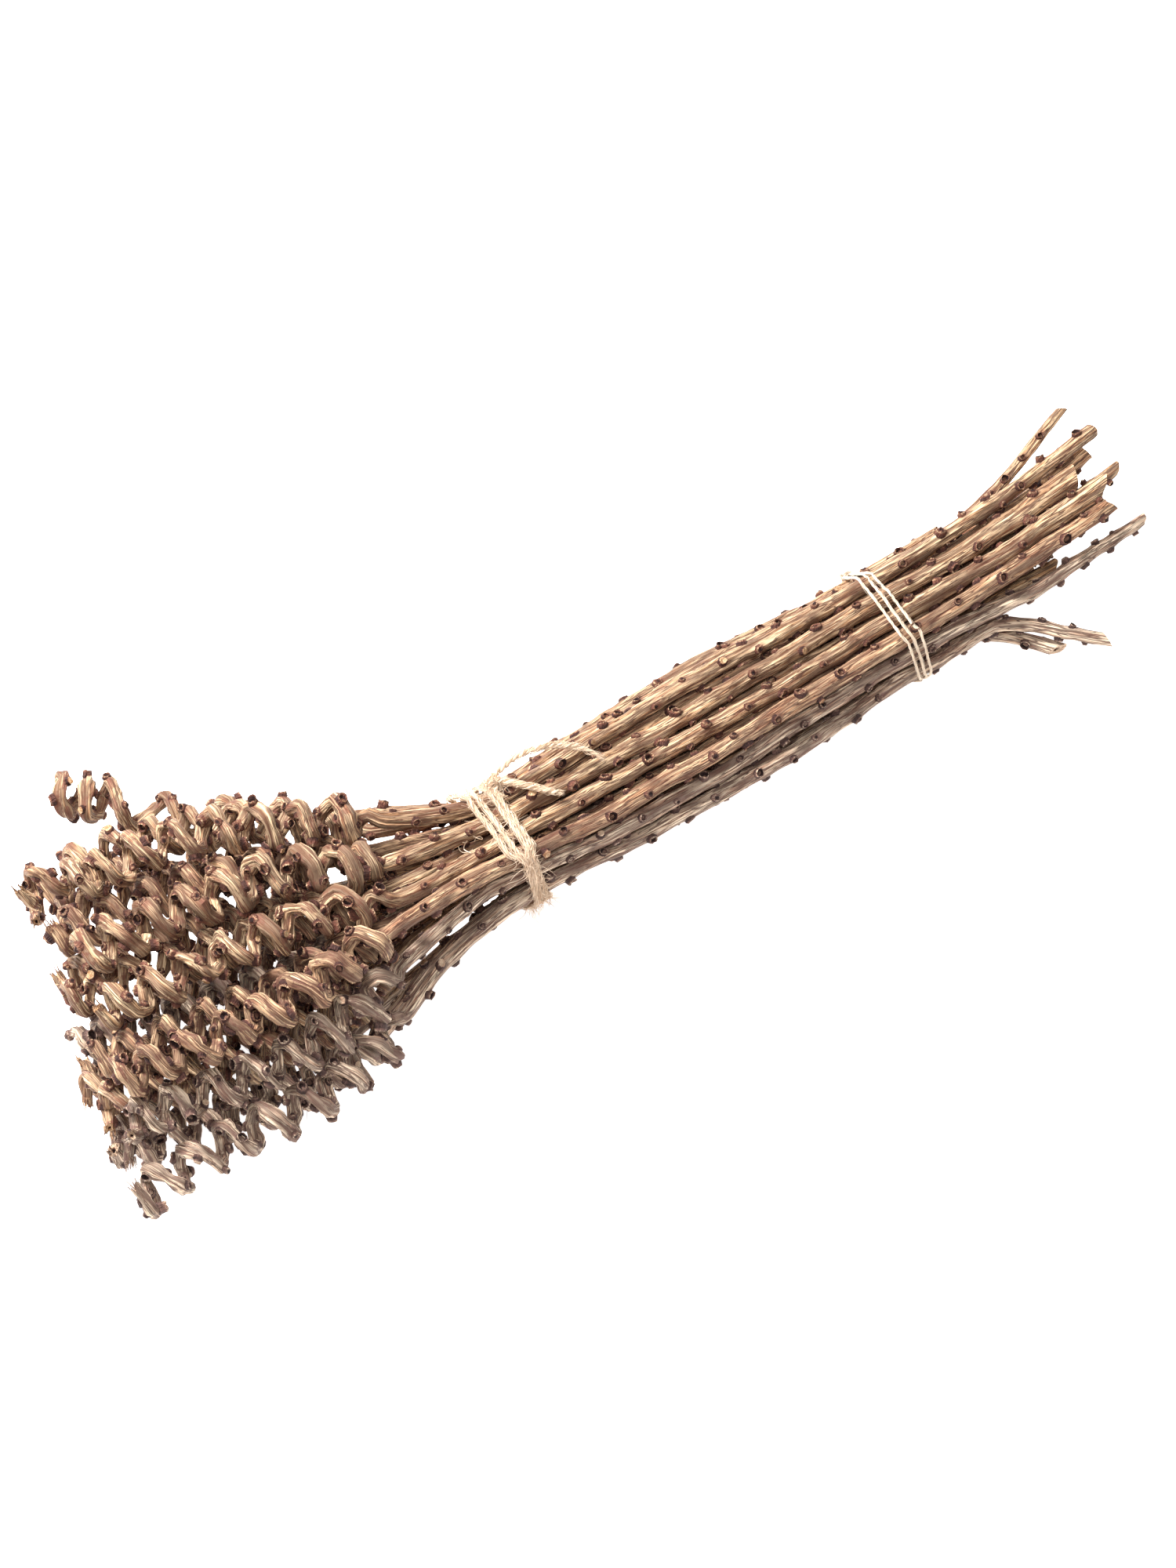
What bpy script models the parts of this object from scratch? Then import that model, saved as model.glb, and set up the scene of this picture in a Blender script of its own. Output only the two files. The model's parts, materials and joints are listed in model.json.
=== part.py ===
"""A tied bundle of dried cane stems, each one wound into a spring at one end.

Twenty-four stems lie side by side in five rows, held by two ties of jute twine.
Their cut ends splay out towards +X. Towards -X each stem is wound into a loose
right-handed spring, and the springs fan out towards +Y.
The origin is under the middle of the bundle, on the surface that it lies on.
"""

import math

import bmesh
import bpy
import numpy as np
from mathutils import Matrix, Vector

MM = 0.001                      # every length below is in millimetres

# The bundle: rows of stems, bottom to top, and where its two ties are.
ROWS = (4, 5, 6, 5, 4)
ROW_RISE = 0.866                # row spacing, as a share of the spacing of stems
LOWER_TIE_X = 0.0
UPPER_TIE_X = 237.0

# How the bundle spreads along X: the spacing of stems across and upwards,
# and the middle of the bundle, at each station.
STATION_X = (-290.0, -110.0, -60.0, 0.0, 60.0, 140.0, 237.0, 320.0, 395.0)
SPREAD_Y = (40.0, 29.8, 17.6, 11.1, 12.9, 14.1, 11.7, 12.6, 17.8)
SPREAD_Z = (15.5, 23.5, 17.5, 10.7, 9.8, 9.4, 10.6, 11.8, 13.5)
MIDDLE_Y = (47.0, 8.0, 1.8, -0.4, 1.0, 7.7, 13.0, 16.2, 28.0)
MIDDLE_Z = (45.0, 58.0, 56.0, 52.0, 47.5, 40.0, 31.0, 29.0, 27.0)

# How each stem wanders from its place in the bundle
GUIDE_ENDS = (400.0, -291.0)    # X where the lines that the stems follow start and stop
GUIDE_STEP = 2.0
WANDER_Y = (1.3, 34.0)          # height of its waves, and their length over 2 pi
WANDER_Z = (1.0, 41.0)

# The stems, row by row and from -Y to +Y in each:
# X of the cut end, X where the spring starts, reach of the spring's end
# from the lower tie, the stem's diameter and its diameter at the cut.
STEMS = (
    ((254, -112, 250, 8.8, 8.6), (330, -104, 242, 8.4, 8.8), (366, -98, 176, 9.2, 10.0),
     (352, -92, 126, 8.6, 9.0)),
    ((314, -104, 252, 8.4, 7.4), (281, -96, 250, 9.0, 9.2), (360, -92, 200, 8.4, 9.4),
     (374, -86, 158, 8.8, 8.6), (340, -82, 234, 8.4, 8.0)),
    ((336, -96, 266, 8.2, 6.2), (335, -88, 252, 9.0, 8.6), (372, -84, 242, 8.6, 10.6),
     (352, -80, 234, 8.8, 9.2), (374, -74, 224, 8.2, 8.6), (294, -72, 218, 8.0, 9.4)),
    ((388, -90, 254, 8.2, 5.4), (374, -82, 246, 8.8, 8.8), (392, -74, 238, 8.4, 6.0),
     (384, -68, 232, 9.2, 9.6), (386, -62, 242, 7.8, 5.0)),
    ((374, -84, 246, 9.2, 8.0), (377, -74, 236, 8.8, 10.8), (366, -64, 228, 9.4, 12.6),
     (388, -58, 220, 8.6, 8.0)),
)

# Where a stem bends out of its place in the bundle: (row, column), X where the
# bend starts and ends, and how far it moves in Y and Z.
BENDS = (
    ((2, 0), 288.0, 348.0, -41.0, -3.0), ((1, 0), 277.0, 341.0, -48.0, 0.0),
    ((3, 4), 285.0, 385.0, 8.5, 3.0), ((4, 3), 290.0, 370.0, -6.5, 0.0),
    ((4, 0), 290.0, 360.0, 3.0, 0.0), ((3, 0), 270.0, 320.0, -3.0, 0.0),
    ((3, 0), 330.0, 390.0, 2.5, 0.0), ((3, 2), 300.0, 385.0, -3.0, 0.0),
    ((2, 5), -110.0, -250.0, 61.0, 4.0), ((3, 4), -110.0, -250.0, -12.0, 0.0),
    ((4, 2), -110.0, -250.0, -10.0, 0.0), ((4, 3), -110.0, -250.0, -8.0, 0.0),
    ((2, 0), -200.0, -275.0, -14.0, 0.0),
)
BENT = ((2, 0), (1, 0), (3, 4))  # those that need points closer together
LOOSE_SPRING = (2, 5)           # the one that is drawn out longer than the rest
TIGHT_START = (4, 2)            # its first two turns lie close

# The springs
COIL_RADIUS = 10.0              # of the stem's centre line
COIL_PITCH = 20.5
LOOSE_PITCH = 31.0
END_PITCH = 11.6                # the last turns are wound closer
END_TURNS = 1.2
LOOSE_END_TURNS = 2.6
TIGHT_START_TURNS = 1.4
CLOSING_LENGTH = 8.0            # over which one pitch changes to the other
COIL_RISE = 13.0                # length over which a stem swings out to the coil
POINTS_PER_TURN = 4.4
HIDDEN_POINTS_PER_TURN = 4.0    # in the stems that the others hide
SHAFT_STEP = 68.0               # between points of the straight stretch
BENT_STEP = 20.0                # the same in the bent stems
FLARE = 110.0                   # length over which a stem swells or thins to its cut
COIL_TAPER = 0.9                # diameter at the spring's end, as a share

# How much the stems differ from each other, as shares
PITCH_VARIES = 0.02
COIL_VARIES = 0.07
THICKNESS_VARIES = 0.03
END_VARIES = 0.4                # in turns
TURN_VARIES = 0.05              # in turns

# A four-sided section reads as round when its corners stand a little proud.
CORNER = 1.08
GAP = 0.45                      # kept between neighbouring solids

# Easing the stems apart: first by wide, strong pushes, then by narrow ones
PASSES = 420
WIDE_SHARE = 0.6                # of the passes
WIDE_PUSH = (17.0, 2.4)         # length that a push spreads over, and its strength
NARROW_PUSH = (6.0, 1.5)
NEIGHBOUR_REACH = 16.0          # stems farther apart than this are not neighbours
NEIGHBOUR_PASSES = 10           # between one search for neighbours and the next

# Bud scars that stand out of the outer stems
BUD_SPACING = 112.0
BUD_BASE = 2.7
BUD_TOP = 1.7
BUD_HEIGHT = 2.0
BUD_SPACING_VARIES = 0.3
BUD_TURN_VARIES = 0.45          # in radians
BUD_FIRST = 12.0                # from the cut end
BUD_FIRST_VARIES = 8.0
BUD_LAST = 8.0                  # from the spring
TIE_CLEARANCE = 17.0            # no scar closer than this to a tie
TAIL_CLEARANCE = 70.0           # nor this far from the lower tie where its loose ends lie

# The ties. Each pass of twine has its place along X from the tie's middle:
# where the knot is, a quarter turn away and opposite the knot.
JUTE = 3.5                      # lower tie
LOWER_LOOPS = ((-10.5, -3.2, -0.8), (-3.5, -1.0, 1.6), (6.4, 1.2, 4.6), (10.2, 3.6, 7.4))
LOWER_KNOT_X = 8.4              # from the tie's middle
LOWER_KNOT_ANGLE = 38.0         # in degrees, round the bundle from +Y
LOWER_KNOT = (5.2, 4.6, 3.6)    # half sizes: along X, round the bundle, outwards
THIN_JUTE = 1.9                 # upper tie
UPPER_LOOPS = ((0.5, 1.5, 4.5), (4.5, 5.7, 7.5), (5.5, 11.0, 9.0))
UPPER_KNOT_X = 2.5
UPPER_KNOT_ANGLE = 30.0
UPPER_KNOT = (4.0, 3.0, 2.2)
LOOP_POINTS = 16
TIE_GAP = 1.1                   # between a stem and the twine round it

# Loose ends of the lower tie, from the knot to the frayed tip
TAILS = {
    "long_tail": ((14.2, 26.0, 78.0), (19.0, 26.8, 80.0), (26.0, 26.6, 82.0), (34.0, 25.2, 83.2),
                  (43.0, 22.6, 83.0), (51.5, 19.0, 81.0), (59.0, 13.4, 78.0), (64.5, 4.8, 74.9)),
    "short_tail": ((13.9, 20.5, 77.5), (18.0, 16.4, 77.3), (23.3, 10.9, 77.3), (27.0, 7.0, 77.6),
                   (31.5, 2.6, 76.9), (36.0, -1.2, 76.5)),
}

WOOD = {"colour": (0.42, 0.24, 0.11, 1.0), "roughness": 0.75}
TWINE = {"colour": (0.72, 0.58, 0.38, 1.0), "roughness": 0.9}


def vary(*key):
    """A fixed value from -1 to 1 for each key, to make neighbours differ."""
    total = sum((place + 1) * 12.9898 * value for place, value in enumerate(key, 1))
    return 2.0 * ((math.sin(total) * 43758.5453) % 1.0) - 1.0


def smooth(x, knots, values):
    """A smooth curve through the values at the knots, read at x."""
    knots, values = np.asarray(knots), np.asarray(values)
    slopes = np.gradient(values, knots)
    cell = np.clip(np.searchsorted(knots, x) - 1, 0, len(knots) - 2)
    width = knots[cell + 1] - knots[cell]
    u = (x - knots[cell]) / width
    start = (1 + 2 * u) * (1 - u) ** 2 * values[cell] + u * (1 - u) ** 2 * width * slopes[cell]
    end = u ** 2 * (3 - 2 * u) * values[cell + 1] + u ** 2 * (u - 1) * width * slopes[cell + 1]
    return start + end


def ease(value):
    """From 0 to 1 with no kink at either end."""
    value = np.clip(value, 0.0, 1.0)
    return value * value * (3.0 - 2.0 * value)


def guide_line(row, column):
    """The line that a stem follows, from past its cut end to past its spring."""
    across = column - (ROWS[row] - 1) / 2
    up = (row - (len(ROWS) - 1) / 2) * ROW_RISE
    x = np.arange(*GUIDE_ENDS, -GUIDE_STEP)
    y = smooth(x, STATION_X, MIDDLE_Y) + across * smooth(x, STATION_X, SPREAD_Y)
    z = smooth(x, STATION_X, MIDDLE_Z) + up * smooth(x, STATION_X, SPREAD_Z)
    y += WANDER_Y[0] * np.sin(x / WANDER_Y[1] + 3.0 * vary(row, column, 1))
    z += WANDER_Z[0] * np.sin(x / WANDER_Z[1] + 3.0 * vary(row, column, 2))
    for stem, start, end, bend_y, bend_z in BENDS:
        if stem == (row, column):
            bent = ease((x - start) / (end - start))
            y += bend_y * bent
            z += bend_z * bent
    line = np.stack((x, y, z), axis=1)
    run = np.append(0.0, np.cumsum(np.linalg.norm(np.diff(line, axis=0), axis=1)))
    return line, run - np.interp(-LOWER_TIE_X, -x, run)


def stem_route(row, column):
    """Centre line points, their radii and their places along the guide line."""
    cut_x, coil_x, reach, diameter, cut_diameter = STEMS[row][column]
    line, run = guide_line(row, column)

    def guide(place):
        return np.array([np.interp(place, run, line[:, axis]) for axis in range(3)])

    loose = (row, column) == LOOSE_SPRING
    pitch = LOOSE_PITCH if loose else COIL_PITCH * (1 + PITCH_VARIES * vary(row, column, 3))
    coil_radius = COIL_RADIUS * (1 + COIL_VARIES * vary(row, column, 4))
    start, finish = np.interp((-cut_x, -coil_x), -line[:, 0], run)
    end_turns = LOOSE_END_TURNS if loose else END_TURNS
    end_start = reach - END_PITCH * (end_turns + END_VARIES * vary(row, column, 5))
    tight_end = finish + TIGHT_START_TURNS * END_PITCH

    shaft_step = BENT_STEP if (row, column) in BENT else SHAFT_STEP
    places = list(np.linspace(start, finish, 1 + round((finish - start) / shaft_step)))
    turns = [0.0] * len(places)
    place = finish
    turn = place / pitch + TURN_VARIES * vary(row, column, 6)
    seen = row > 0 and is_outer(row, column)
    points_per_turn = POINTS_PER_TURN if seen else HIDDEN_POINTS_PER_TURN
    while place < reach:
        closing = ease((place - end_start) / CLOSING_LENGTH)
        if (row, column) == TIGHT_START:
            closing = max(closing, 1.0 - ease((place - tight_end) / CLOSING_LENGTH))
        place += (pitch + (END_PITCH - pitch) * closing) / points_per_turn
        turn += 1.0 / points_per_turn
        places.append(place)
        turns.append(turn)

    points, radii = [], []
    for place, turn in zip(places, turns):
        ahead = guide(place + GUIDE_STEP) - guide(place - GUIDE_STEP)
        ahead /= np.linalg.norm(ahead)
        upward = np.array((0.0, 0.0, 1.0)) - ahead[2] * ahead
        upward /= np.linalg.norm(upward)
        aside = np.cross(ahead, upward)
        swing = coil_radius * ease((place - finish) / COIL_RISE)
        angle = 2 * math.pi * turn
        points.append(guide(place) + swing * (math.cos(angle) * upward + math.sin(angle) * aside))
        taper = 1.0 + (COIL_TAPER - 1.0) * ease(place / reach)
        flare = (cut_diameter / diameter - 1.0) * ease((start + FLARE - place) / FLARE)
        uneven = 1 + THICKNESS_VARIES * vary(row, column, round(place))
        radii.append(0.5 * diameter * (taper + flare) * uneven)
    return np.array(points), np.array(radii), np.array(places)


def closest_on_segments(first, first_end, second, second_end):
    """Shares along two sets of segments at which each pair comes closest."""
    along, other = first_end - first, second_end - second
    apart = first - second
    aa = np.einsum("ij,ij->i", along, along)
    ab = np.einsum("ij,ij->i", along, other)
    bb = np.einsum("ij,ij->i", other, other)
    ac = np.einsum("ij,ij->i", along, apart)
    bc = np.einsum("ij,ij->i", other, apart)
    s = np.clip((ab * bc - ac * bb) / np.maximum(aa * bb - ab * ab, 1e-6), 0.0, 1.0)
    t = np.clip((ab * s + bc) / bb, 0.0, 1.0)
    s = np.clip((ab * t - ac) / aa, 0.0, 1.0)
    return s, t


def spread_apart(routes, radii, places):
    """Ease touching stems away from each other until all keep their gap."""
    points = np.concatenate(routes)
    radius = np.concatenate(radii) * CORNER
    owner = np.repeat(np.arange(len(routes)), [len(route) for route in routes])
    tails = np.flatnonzero(owner[:-1] == owner[1:])
    along = np.concatenate(places)

    def soften(width):
        near = np.exp(-0.5 * ((along[:, None] - along[None, :]) / width) ** 2)
        near[owner[:, None] != owner[None, :]] = 0.0
        return near / near.sum(axis=1, keepdims=True)

    wide = WIDE_PUSH[1] * soften(WIDE_PUSH[0])
    narrow = NARROW_PUSH[1] * soften(NARROW_PUSH[0])
    for step in range(PASSES):
        if step % NEIGHBOUR_PASSES == 0:
            middle = 0.5 * (points[tails] + points[tails + 1])
            half = 0.5 * np.linalg.norm(points[tails + 1] - points[tails], axis=1)
            distance = np.linalg.norm(middle[:, None, :] - middle[None, :, :], axis=2)
            near = distance < half[:, None] + half[None, :] + NEIGHBOUR_REACH
            near &= owner[tails][:, None] < owner[tails][None, :]
            one, two = np.nonzero(near)
            one, two = tails[one], tails[two]
        s, t = closest_on_segments(points[one], points[one + 1], points[two], points[two + 1])
        here = points[one] + s[:, None] * (points[one + 1] - points[one])
        there = points[two] + t[:, None] * (points[two + 1] - points[two])
        between = here - there
        distance = np.maximum(np.linalg.norm(between, axis=1), 1e-6)
        wanted = (1 - s) * radius[one] + s * radius[one + 1]
        wanted += (1 - t) * radius[two] + t * radius[two + 1] + GAP
        lack = wanted - distance
        tight = lack > 0
        if not tight.any():
            break
        push = (0.5 * lack / distance)[tight, None] * between[tight]
        shift, weight = np.zeros_like(points), np.zeros(len(points))
        for index, share, sign in ((one, 1 - s, 1), (one + 1, s, 1), (two, 1 - t, -1), (two + 1, t, -1)):
            np.add.at(shift, index[tight], sign * share[tight, None] * push)
            np.add.at(weight, index[tight], share[tight])
        shift /= np.maximum(weight, 1.0)[:, None]
        points += (wide if step < WIDE_SHARE * PASSES else narrow) @ shift
    return [points[owner == index] for index in range(len(routes))], lack.max()


def section_at(routes, radii, x):
    """Centres in Y and Z and radii of the stems where they pass a given X."""
    centres, sizes = [], []
    for route, radius in zip(routes, radii):
        end = int(np.argmax(route[:, 0] < x))
        share = (x - route[end, 0]) / (route[end - 1, 0] - route[end, 0])
        centres.append((1 - share) * route[end, 1:] + share * route[end - 1, 1:])
        sizes.append((1 - share) * radius[end] + share * radius[end - 1])
    return np.array(centres), np.array(sizes)


def beside_bundle(routes, radii, x, degrees, clearance):
    """The point that lies a clearance outside the bundle's stems, in one direction."""
    centres, sizes = section_at(routes, radii, x)
    angle = math.radians(degrees)
    outward = np.array((math.cos(angle), math.sin(angle)))
    farthest = np.argmax(centres @ outward + sizes * CORNER)
    y, z = centres[farthest] + (sizes[farthest] * CORNER + clearance) * outward
    return x, y, z


def pass_offset(turn, at_knot, aside, opposite):
    """How far along X a pass of twine lies after a turn round the bundle from its knot."""
    ends = (at_knot + opposite) / 2
    once, twice = (at_knot - opposite) / 2, (ends - aside) / 2
    return (ends + aside) / 2 + once * math.cos(turn) + twice * math.cos(2 * turn)


def tie_loops(routes, radii, tie_x, passes, knot_angle, twine):
    """One closed route for each pass of twine."""
    loops = []
    for places in passes:
        loop = []
        for step in range(LOOP_POINTS):
            turn = 2 * math.pi * step / LOOP_POINTS
            x = tie_x + pass_offset(turn, *places)
            degrees = knot_angle + math.degrees(turn)
            loop.append(beside_bundle(routes, radii, x, degrees, twine / 2 + TIE_GAP))
        loops.append(np.array(loop))
    return loops


def tube_object(name, points, radii, sides=4, closed=False, twisted=False):
    """A tube through the points, as a POLY curve with a bevel."""
    curve = bpy.data.curves.new(name, "CURVE")
    curve.dimensions = "3D"
    curve.bevel_depth = MM
    curve.bevel_resolution = (sides - 4) // 2
    curve.use_fill_caps = not closed
    spline = curve.splines.new("POLY")
    spline.points.add(len(points) - 1)
    spline.use_cyclic_u = closed
    for index, (place, radius) in enumerate(zip(points, radii)):
        spline.points[index].co = (*(Vector(place) * MM), 1.0)
        spline.points[index].radius = radius
        spline.points[index].tilt = math.pi / 4 * (index % 2) if twisted else 0.0
    item = bpy.data.objects.new(name, curve)
    return item


def as_mesh(item, collection):
    """The same shape as a mesh object with its caps welded."""
    collection.objects.link(item)
    bpy.context.view_layer.update()
    evaluated = item.evaluated_get(bpy.context.evaluated_depsgraph_get())
    mesh = bpy.data.meshes.new_from_object(evaluated)
    bm = bmesh.new()
    bm.from_mesh(mesh)
    bmesh.ops.remove_doubles(bm, verts=bm.verts, dist=1e-6)
    bm.to_mesh(mesh)
    bm.free()
    solid = bpy.data.objects.new(item.name, mesh)
    solid.matrix_world = item.matrix_world
    name = item.name
    bpy.data.objects.remove(item)
    solid.name = mesh.name = name
    collection.objects.link(solid)
    return solid


def add_union(item, other):
    """Fuse another object, kept as a hidden guide, to this one."""
    other.hide_render = True
    other.display_type = "WIRE"
    other.hide_set(True)
    fuse = item.modifiers.new("fuse", "BOOLEAN")
    fuse.operation = "UNION"
    fuse.object = other


def finish_material(name, looks):
    """A plain material in the part's colour."""
    material = bpy.data.materials.new(name)
    material.use_nodes = True
    shader = material.node_tree.nodes["Principled BSDF"]
    shader.inputs["Base Color"].default_value = looks["colour"]
    shader.inputs["Roughness"].default_value = looks["roughness"]
    shader.inputs["Metallic"].default_value = 0.0
    return material


def is_outer(row, column):
    """Whether a stem lies on the outside of the bundle."""
    return row in (0, len(ROWS) - 1) or column in (0, ROWS[row] - 1)


def bud_scars(name, row, column, route, radii, guides):
    """Low stubs on the side of an outer stem that faces out of the bundle."""
    bm = bmesh.new()
    across = (2 * column + 1 - ROWS[row]) / (max(ROWS) - 1)
    up = (2 * row + 1 - len(ROWS)) / (len(ROWS) - 1)
    facing = math.atan2(up, across)
    shaft = route[route[:, 0] > STEMS[row][column][1] + BUD_LAST]
    x = shaft[0, 0] - BUD_FIRST - BUD_FIRST_VARIES * vary(row, column, 8)
    index = 0
    while x > shaft[-1, 0] + BUD_LAST:
        near_tie = min(abs(x - LOWER_TIE_X), abs(x - UPPER_TIE_X)) < TIE_CLEARANCE
        under_tail = row >= 3 and 0.0 < x - LOWER_TIE_X < TAIL_CLEARANCE
        if not near_tie and not under_tail:
            centre = [np.interp(-x, -shaft[:, 0], shaft[:, axis]) for axis in range(3)]
            radius = np.interp(-x, -shaft[:, 0], radii[:len(shaft)])
            angle = facing + BUD_TURN_VARIES * vary(row, column, index, 9)
            outward = Vector((0.0, math.cos(angle), math.sin(angle)))
            turn = outward.to_track_quat("Z", "X").to_matrix().to_4x4()
            depth = 0.5 * radius + BUD_HEIGHT
            place = Vector(centre) + outward * (0.5 * radius + 0.5 * depth)
            bmesh.ops.create_cone(bm, cap_ends=True, segments=3, depth=depth * MM,
                                  radius1=BUD_BASE * MM, radius2=BUD_TOP * MM,
                                  matrix=Matrix.Translation(place * MM) @ turn)
        x -= BUD_SPACING * (1 + BUD_SPACING_VARIES * vary(row, column, index, 10))
        index += 1
    mesh = bpy.data.meshes.new(name)
    bm.to_mesh(mesh)
    bm.free()
    scars = bpy.data.objects.new(name, mesh)
    guides.objects.link(scars)
    return scars


def make_stem(row, column, number, route, radii, bundle, guides):
    """One stem with its spring, and its bud scars where it lies outside."""
    name = f"twig_{number:02d}"
    item = tube_object(name, route, radii * CORNER, twisted=True)
    if not is_outer(row, column):
        bundle.objects.link(item)
        return item
    item = as_mesh(item, bundle)
    add_union(item, bud_scars(f"{name}_buds", row, column, route, radii, guides))
    return item


def make_tie(name, loops, twine, knot_at, knot_turn, knot_size, bundle, guides):
    """Passes of twine round the bundle, fused where they meet in the knot."""
    mesh = bpy.data.meshes.new(name)
    bm = bmesh.new()
    bmesh.ops.create_icosphere(bm, subdivisions=2, radius=MM)
    bm.to_mesh(mesh)
    bm.free()
    mesh.transform(Matrix.LocRotScale(Vector(knot_at) * MM, knot_turn, Vector(knot_size)))
    knot = bpy.data.objects.new(name, mesh)
    bundle.objects.link(knot)
    for index, loop in enumerate(loops, 1):
        tube = tube_object(f"{name}_pass_{index}", loop, [twine / 2] * len(loop), closed=True)
        add_union(knot, as_mesh(tube, guides))
    return knot


def make_tail(name, stops, bundle):
    """A loose end of the lower tie: a smooth curve through its stops."""
    marks = np.array(stops)
    run = np.append(0.0, np.cumsum(np.linalg.norm(np.diff(marks, axis=0), axis=1)))
    steps = np.linspace(0.0, run[-1], 1 + round(run[-1] / (2.4 * JUTE)))
    points = np.stack([smooth(steps, run, marks[:, axis]) for axis in range(3)], axis=1)
    item = tube_object(name, points, [JUTE / 2] * len(points), sides=8)
    bundle.objects.link(item)
    print(f"{name} is {np.linalg.norm(np.diff(points, axis=0), axis=1).sum():.1f} mm long")
    return item


def clear_scene():
    """Remove whatever the file starts with."""
    for item in list(bpy.data.objects):
        bpy.data.objects.remove(item)


def new_collection(name):
    collection = bpy.data.collections.new(name)
    bpy.context.scene.collection.children.link(collection)
    return collection


def lay_out_stems():
    """Every stem's route and radii, eased apart, with its row and column."""
    slots = [(row, column) for row in range(len(ROWS)) for column in range(ROWS[row])]
    routes, radii, places = zip(*(stem_route(row, column) for row, column in slots))
    routes, worst = spread_apart(routes, radii, places)
    print(f"closest stems lack {worst:.2f} mm of their gap")
    return slots, routes, radii


def surface_points(item, depsgraph):
    """The points of an object's finished surface."""
    evaluated = item.evaluated_get(depsgraph)
    points = [tuple(vertex.co) for vertex in evaluated.to_mesh().vertices]
    evaluated.to_mesh_clear()
    return points


def rest_on_origin(bundle, guides):
    """Stand the whole bundle on the origin, under the middle of its box."""
    bpy.context.view_layer.update()
    depsgraph = bpy.context.evaluated_depsgraph_get()
    points = np.array([point for item in bundle.objects for point in surface_points(item, depsgraph)])
    low, high = points.min(axis=0), points.max(axis=0)
    rest = bpy.data.objects.new("resting_point", None)
    bundle.objects.link(rest)
    for item in list(bundle.objects) + list(guides.objects):
        if item is not rest:
            item.parent = rest
    rest.location = (-(low[0] + high[0]) / 2, -(low[1] + high[1]) / 2, -low[2])


def main():
    clear_scene()
    bundle = new_collection("cane_bundle")
    guides = new_collection("cutters")
    wood = finish_material("cane", WOOD)
    twine = finish_material("jute", TWINE)

    slots, routes, radii = lay_out_stems()
    for number, ((row, column), route, size) in enumerate(zip(slots, routes, radii), 1):
        make_stem(row, column, number, route, size, bundle, guides).data.materials.append(wood)

    ties = (("lower_tie", LOWER_TIE_X, LOWER_LOOPS, LOWER_KNOT_X, LOWER_KNOT_ANGLE, JUTE, LOWER_KNOT),
            ("upper_tie", UPPER_TIE_X, UPPER_LOOPS, UPPER_KNOT_X, UPPER_KNOT_ANGLE, THIN_JUTE, UPPER_KNOT))
    for name, tie_x, passes, knot_x, angle, thickness, knot in ties:
        loops = tie_loops(routes, radii, tie_x, passes, angle, thickness)
        knot_at = beside_bundle(routes, radii, tie_x + knot_x, angle, knot[2] + GAP)
        knot_turn = Matrix.Rotation(math.radians(angle - 90.0), 3, "X").to_quaternion()
        make_tie(name, loops, thickness, knot_at, knot_turn, knot,
                 bundle, guides).data.materials.append(twine)
    for name, stops in TAILS.items():
        make_tail(name, stops, bundle).data.materials.append(twine)
    rest_on_origin(bundle, guides)


if __name__ == "__main__":
    main()
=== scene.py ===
# The looks of a tied bundle of dried cane stems, each wound into a spring at one end

import json
import math

import bmesh
import bpy
import numpy as np
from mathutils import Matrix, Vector

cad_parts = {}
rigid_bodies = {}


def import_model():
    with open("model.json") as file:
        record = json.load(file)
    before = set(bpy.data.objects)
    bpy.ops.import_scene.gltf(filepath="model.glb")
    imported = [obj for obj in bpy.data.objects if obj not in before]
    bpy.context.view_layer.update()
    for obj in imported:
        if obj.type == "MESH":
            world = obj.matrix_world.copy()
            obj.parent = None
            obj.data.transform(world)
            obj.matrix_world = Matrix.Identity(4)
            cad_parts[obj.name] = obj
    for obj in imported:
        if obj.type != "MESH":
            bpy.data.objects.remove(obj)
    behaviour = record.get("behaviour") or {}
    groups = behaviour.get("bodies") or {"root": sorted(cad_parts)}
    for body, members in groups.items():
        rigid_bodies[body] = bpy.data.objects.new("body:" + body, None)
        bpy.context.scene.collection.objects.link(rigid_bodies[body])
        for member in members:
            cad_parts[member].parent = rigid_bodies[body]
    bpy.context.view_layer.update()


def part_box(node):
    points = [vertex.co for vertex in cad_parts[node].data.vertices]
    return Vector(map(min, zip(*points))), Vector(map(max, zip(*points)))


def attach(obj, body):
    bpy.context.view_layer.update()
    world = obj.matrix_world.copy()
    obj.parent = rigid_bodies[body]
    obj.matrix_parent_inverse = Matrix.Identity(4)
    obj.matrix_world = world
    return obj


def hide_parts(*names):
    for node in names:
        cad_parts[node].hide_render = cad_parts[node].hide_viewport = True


mm = 0.001                      # lengths below are in millimetres

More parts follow.
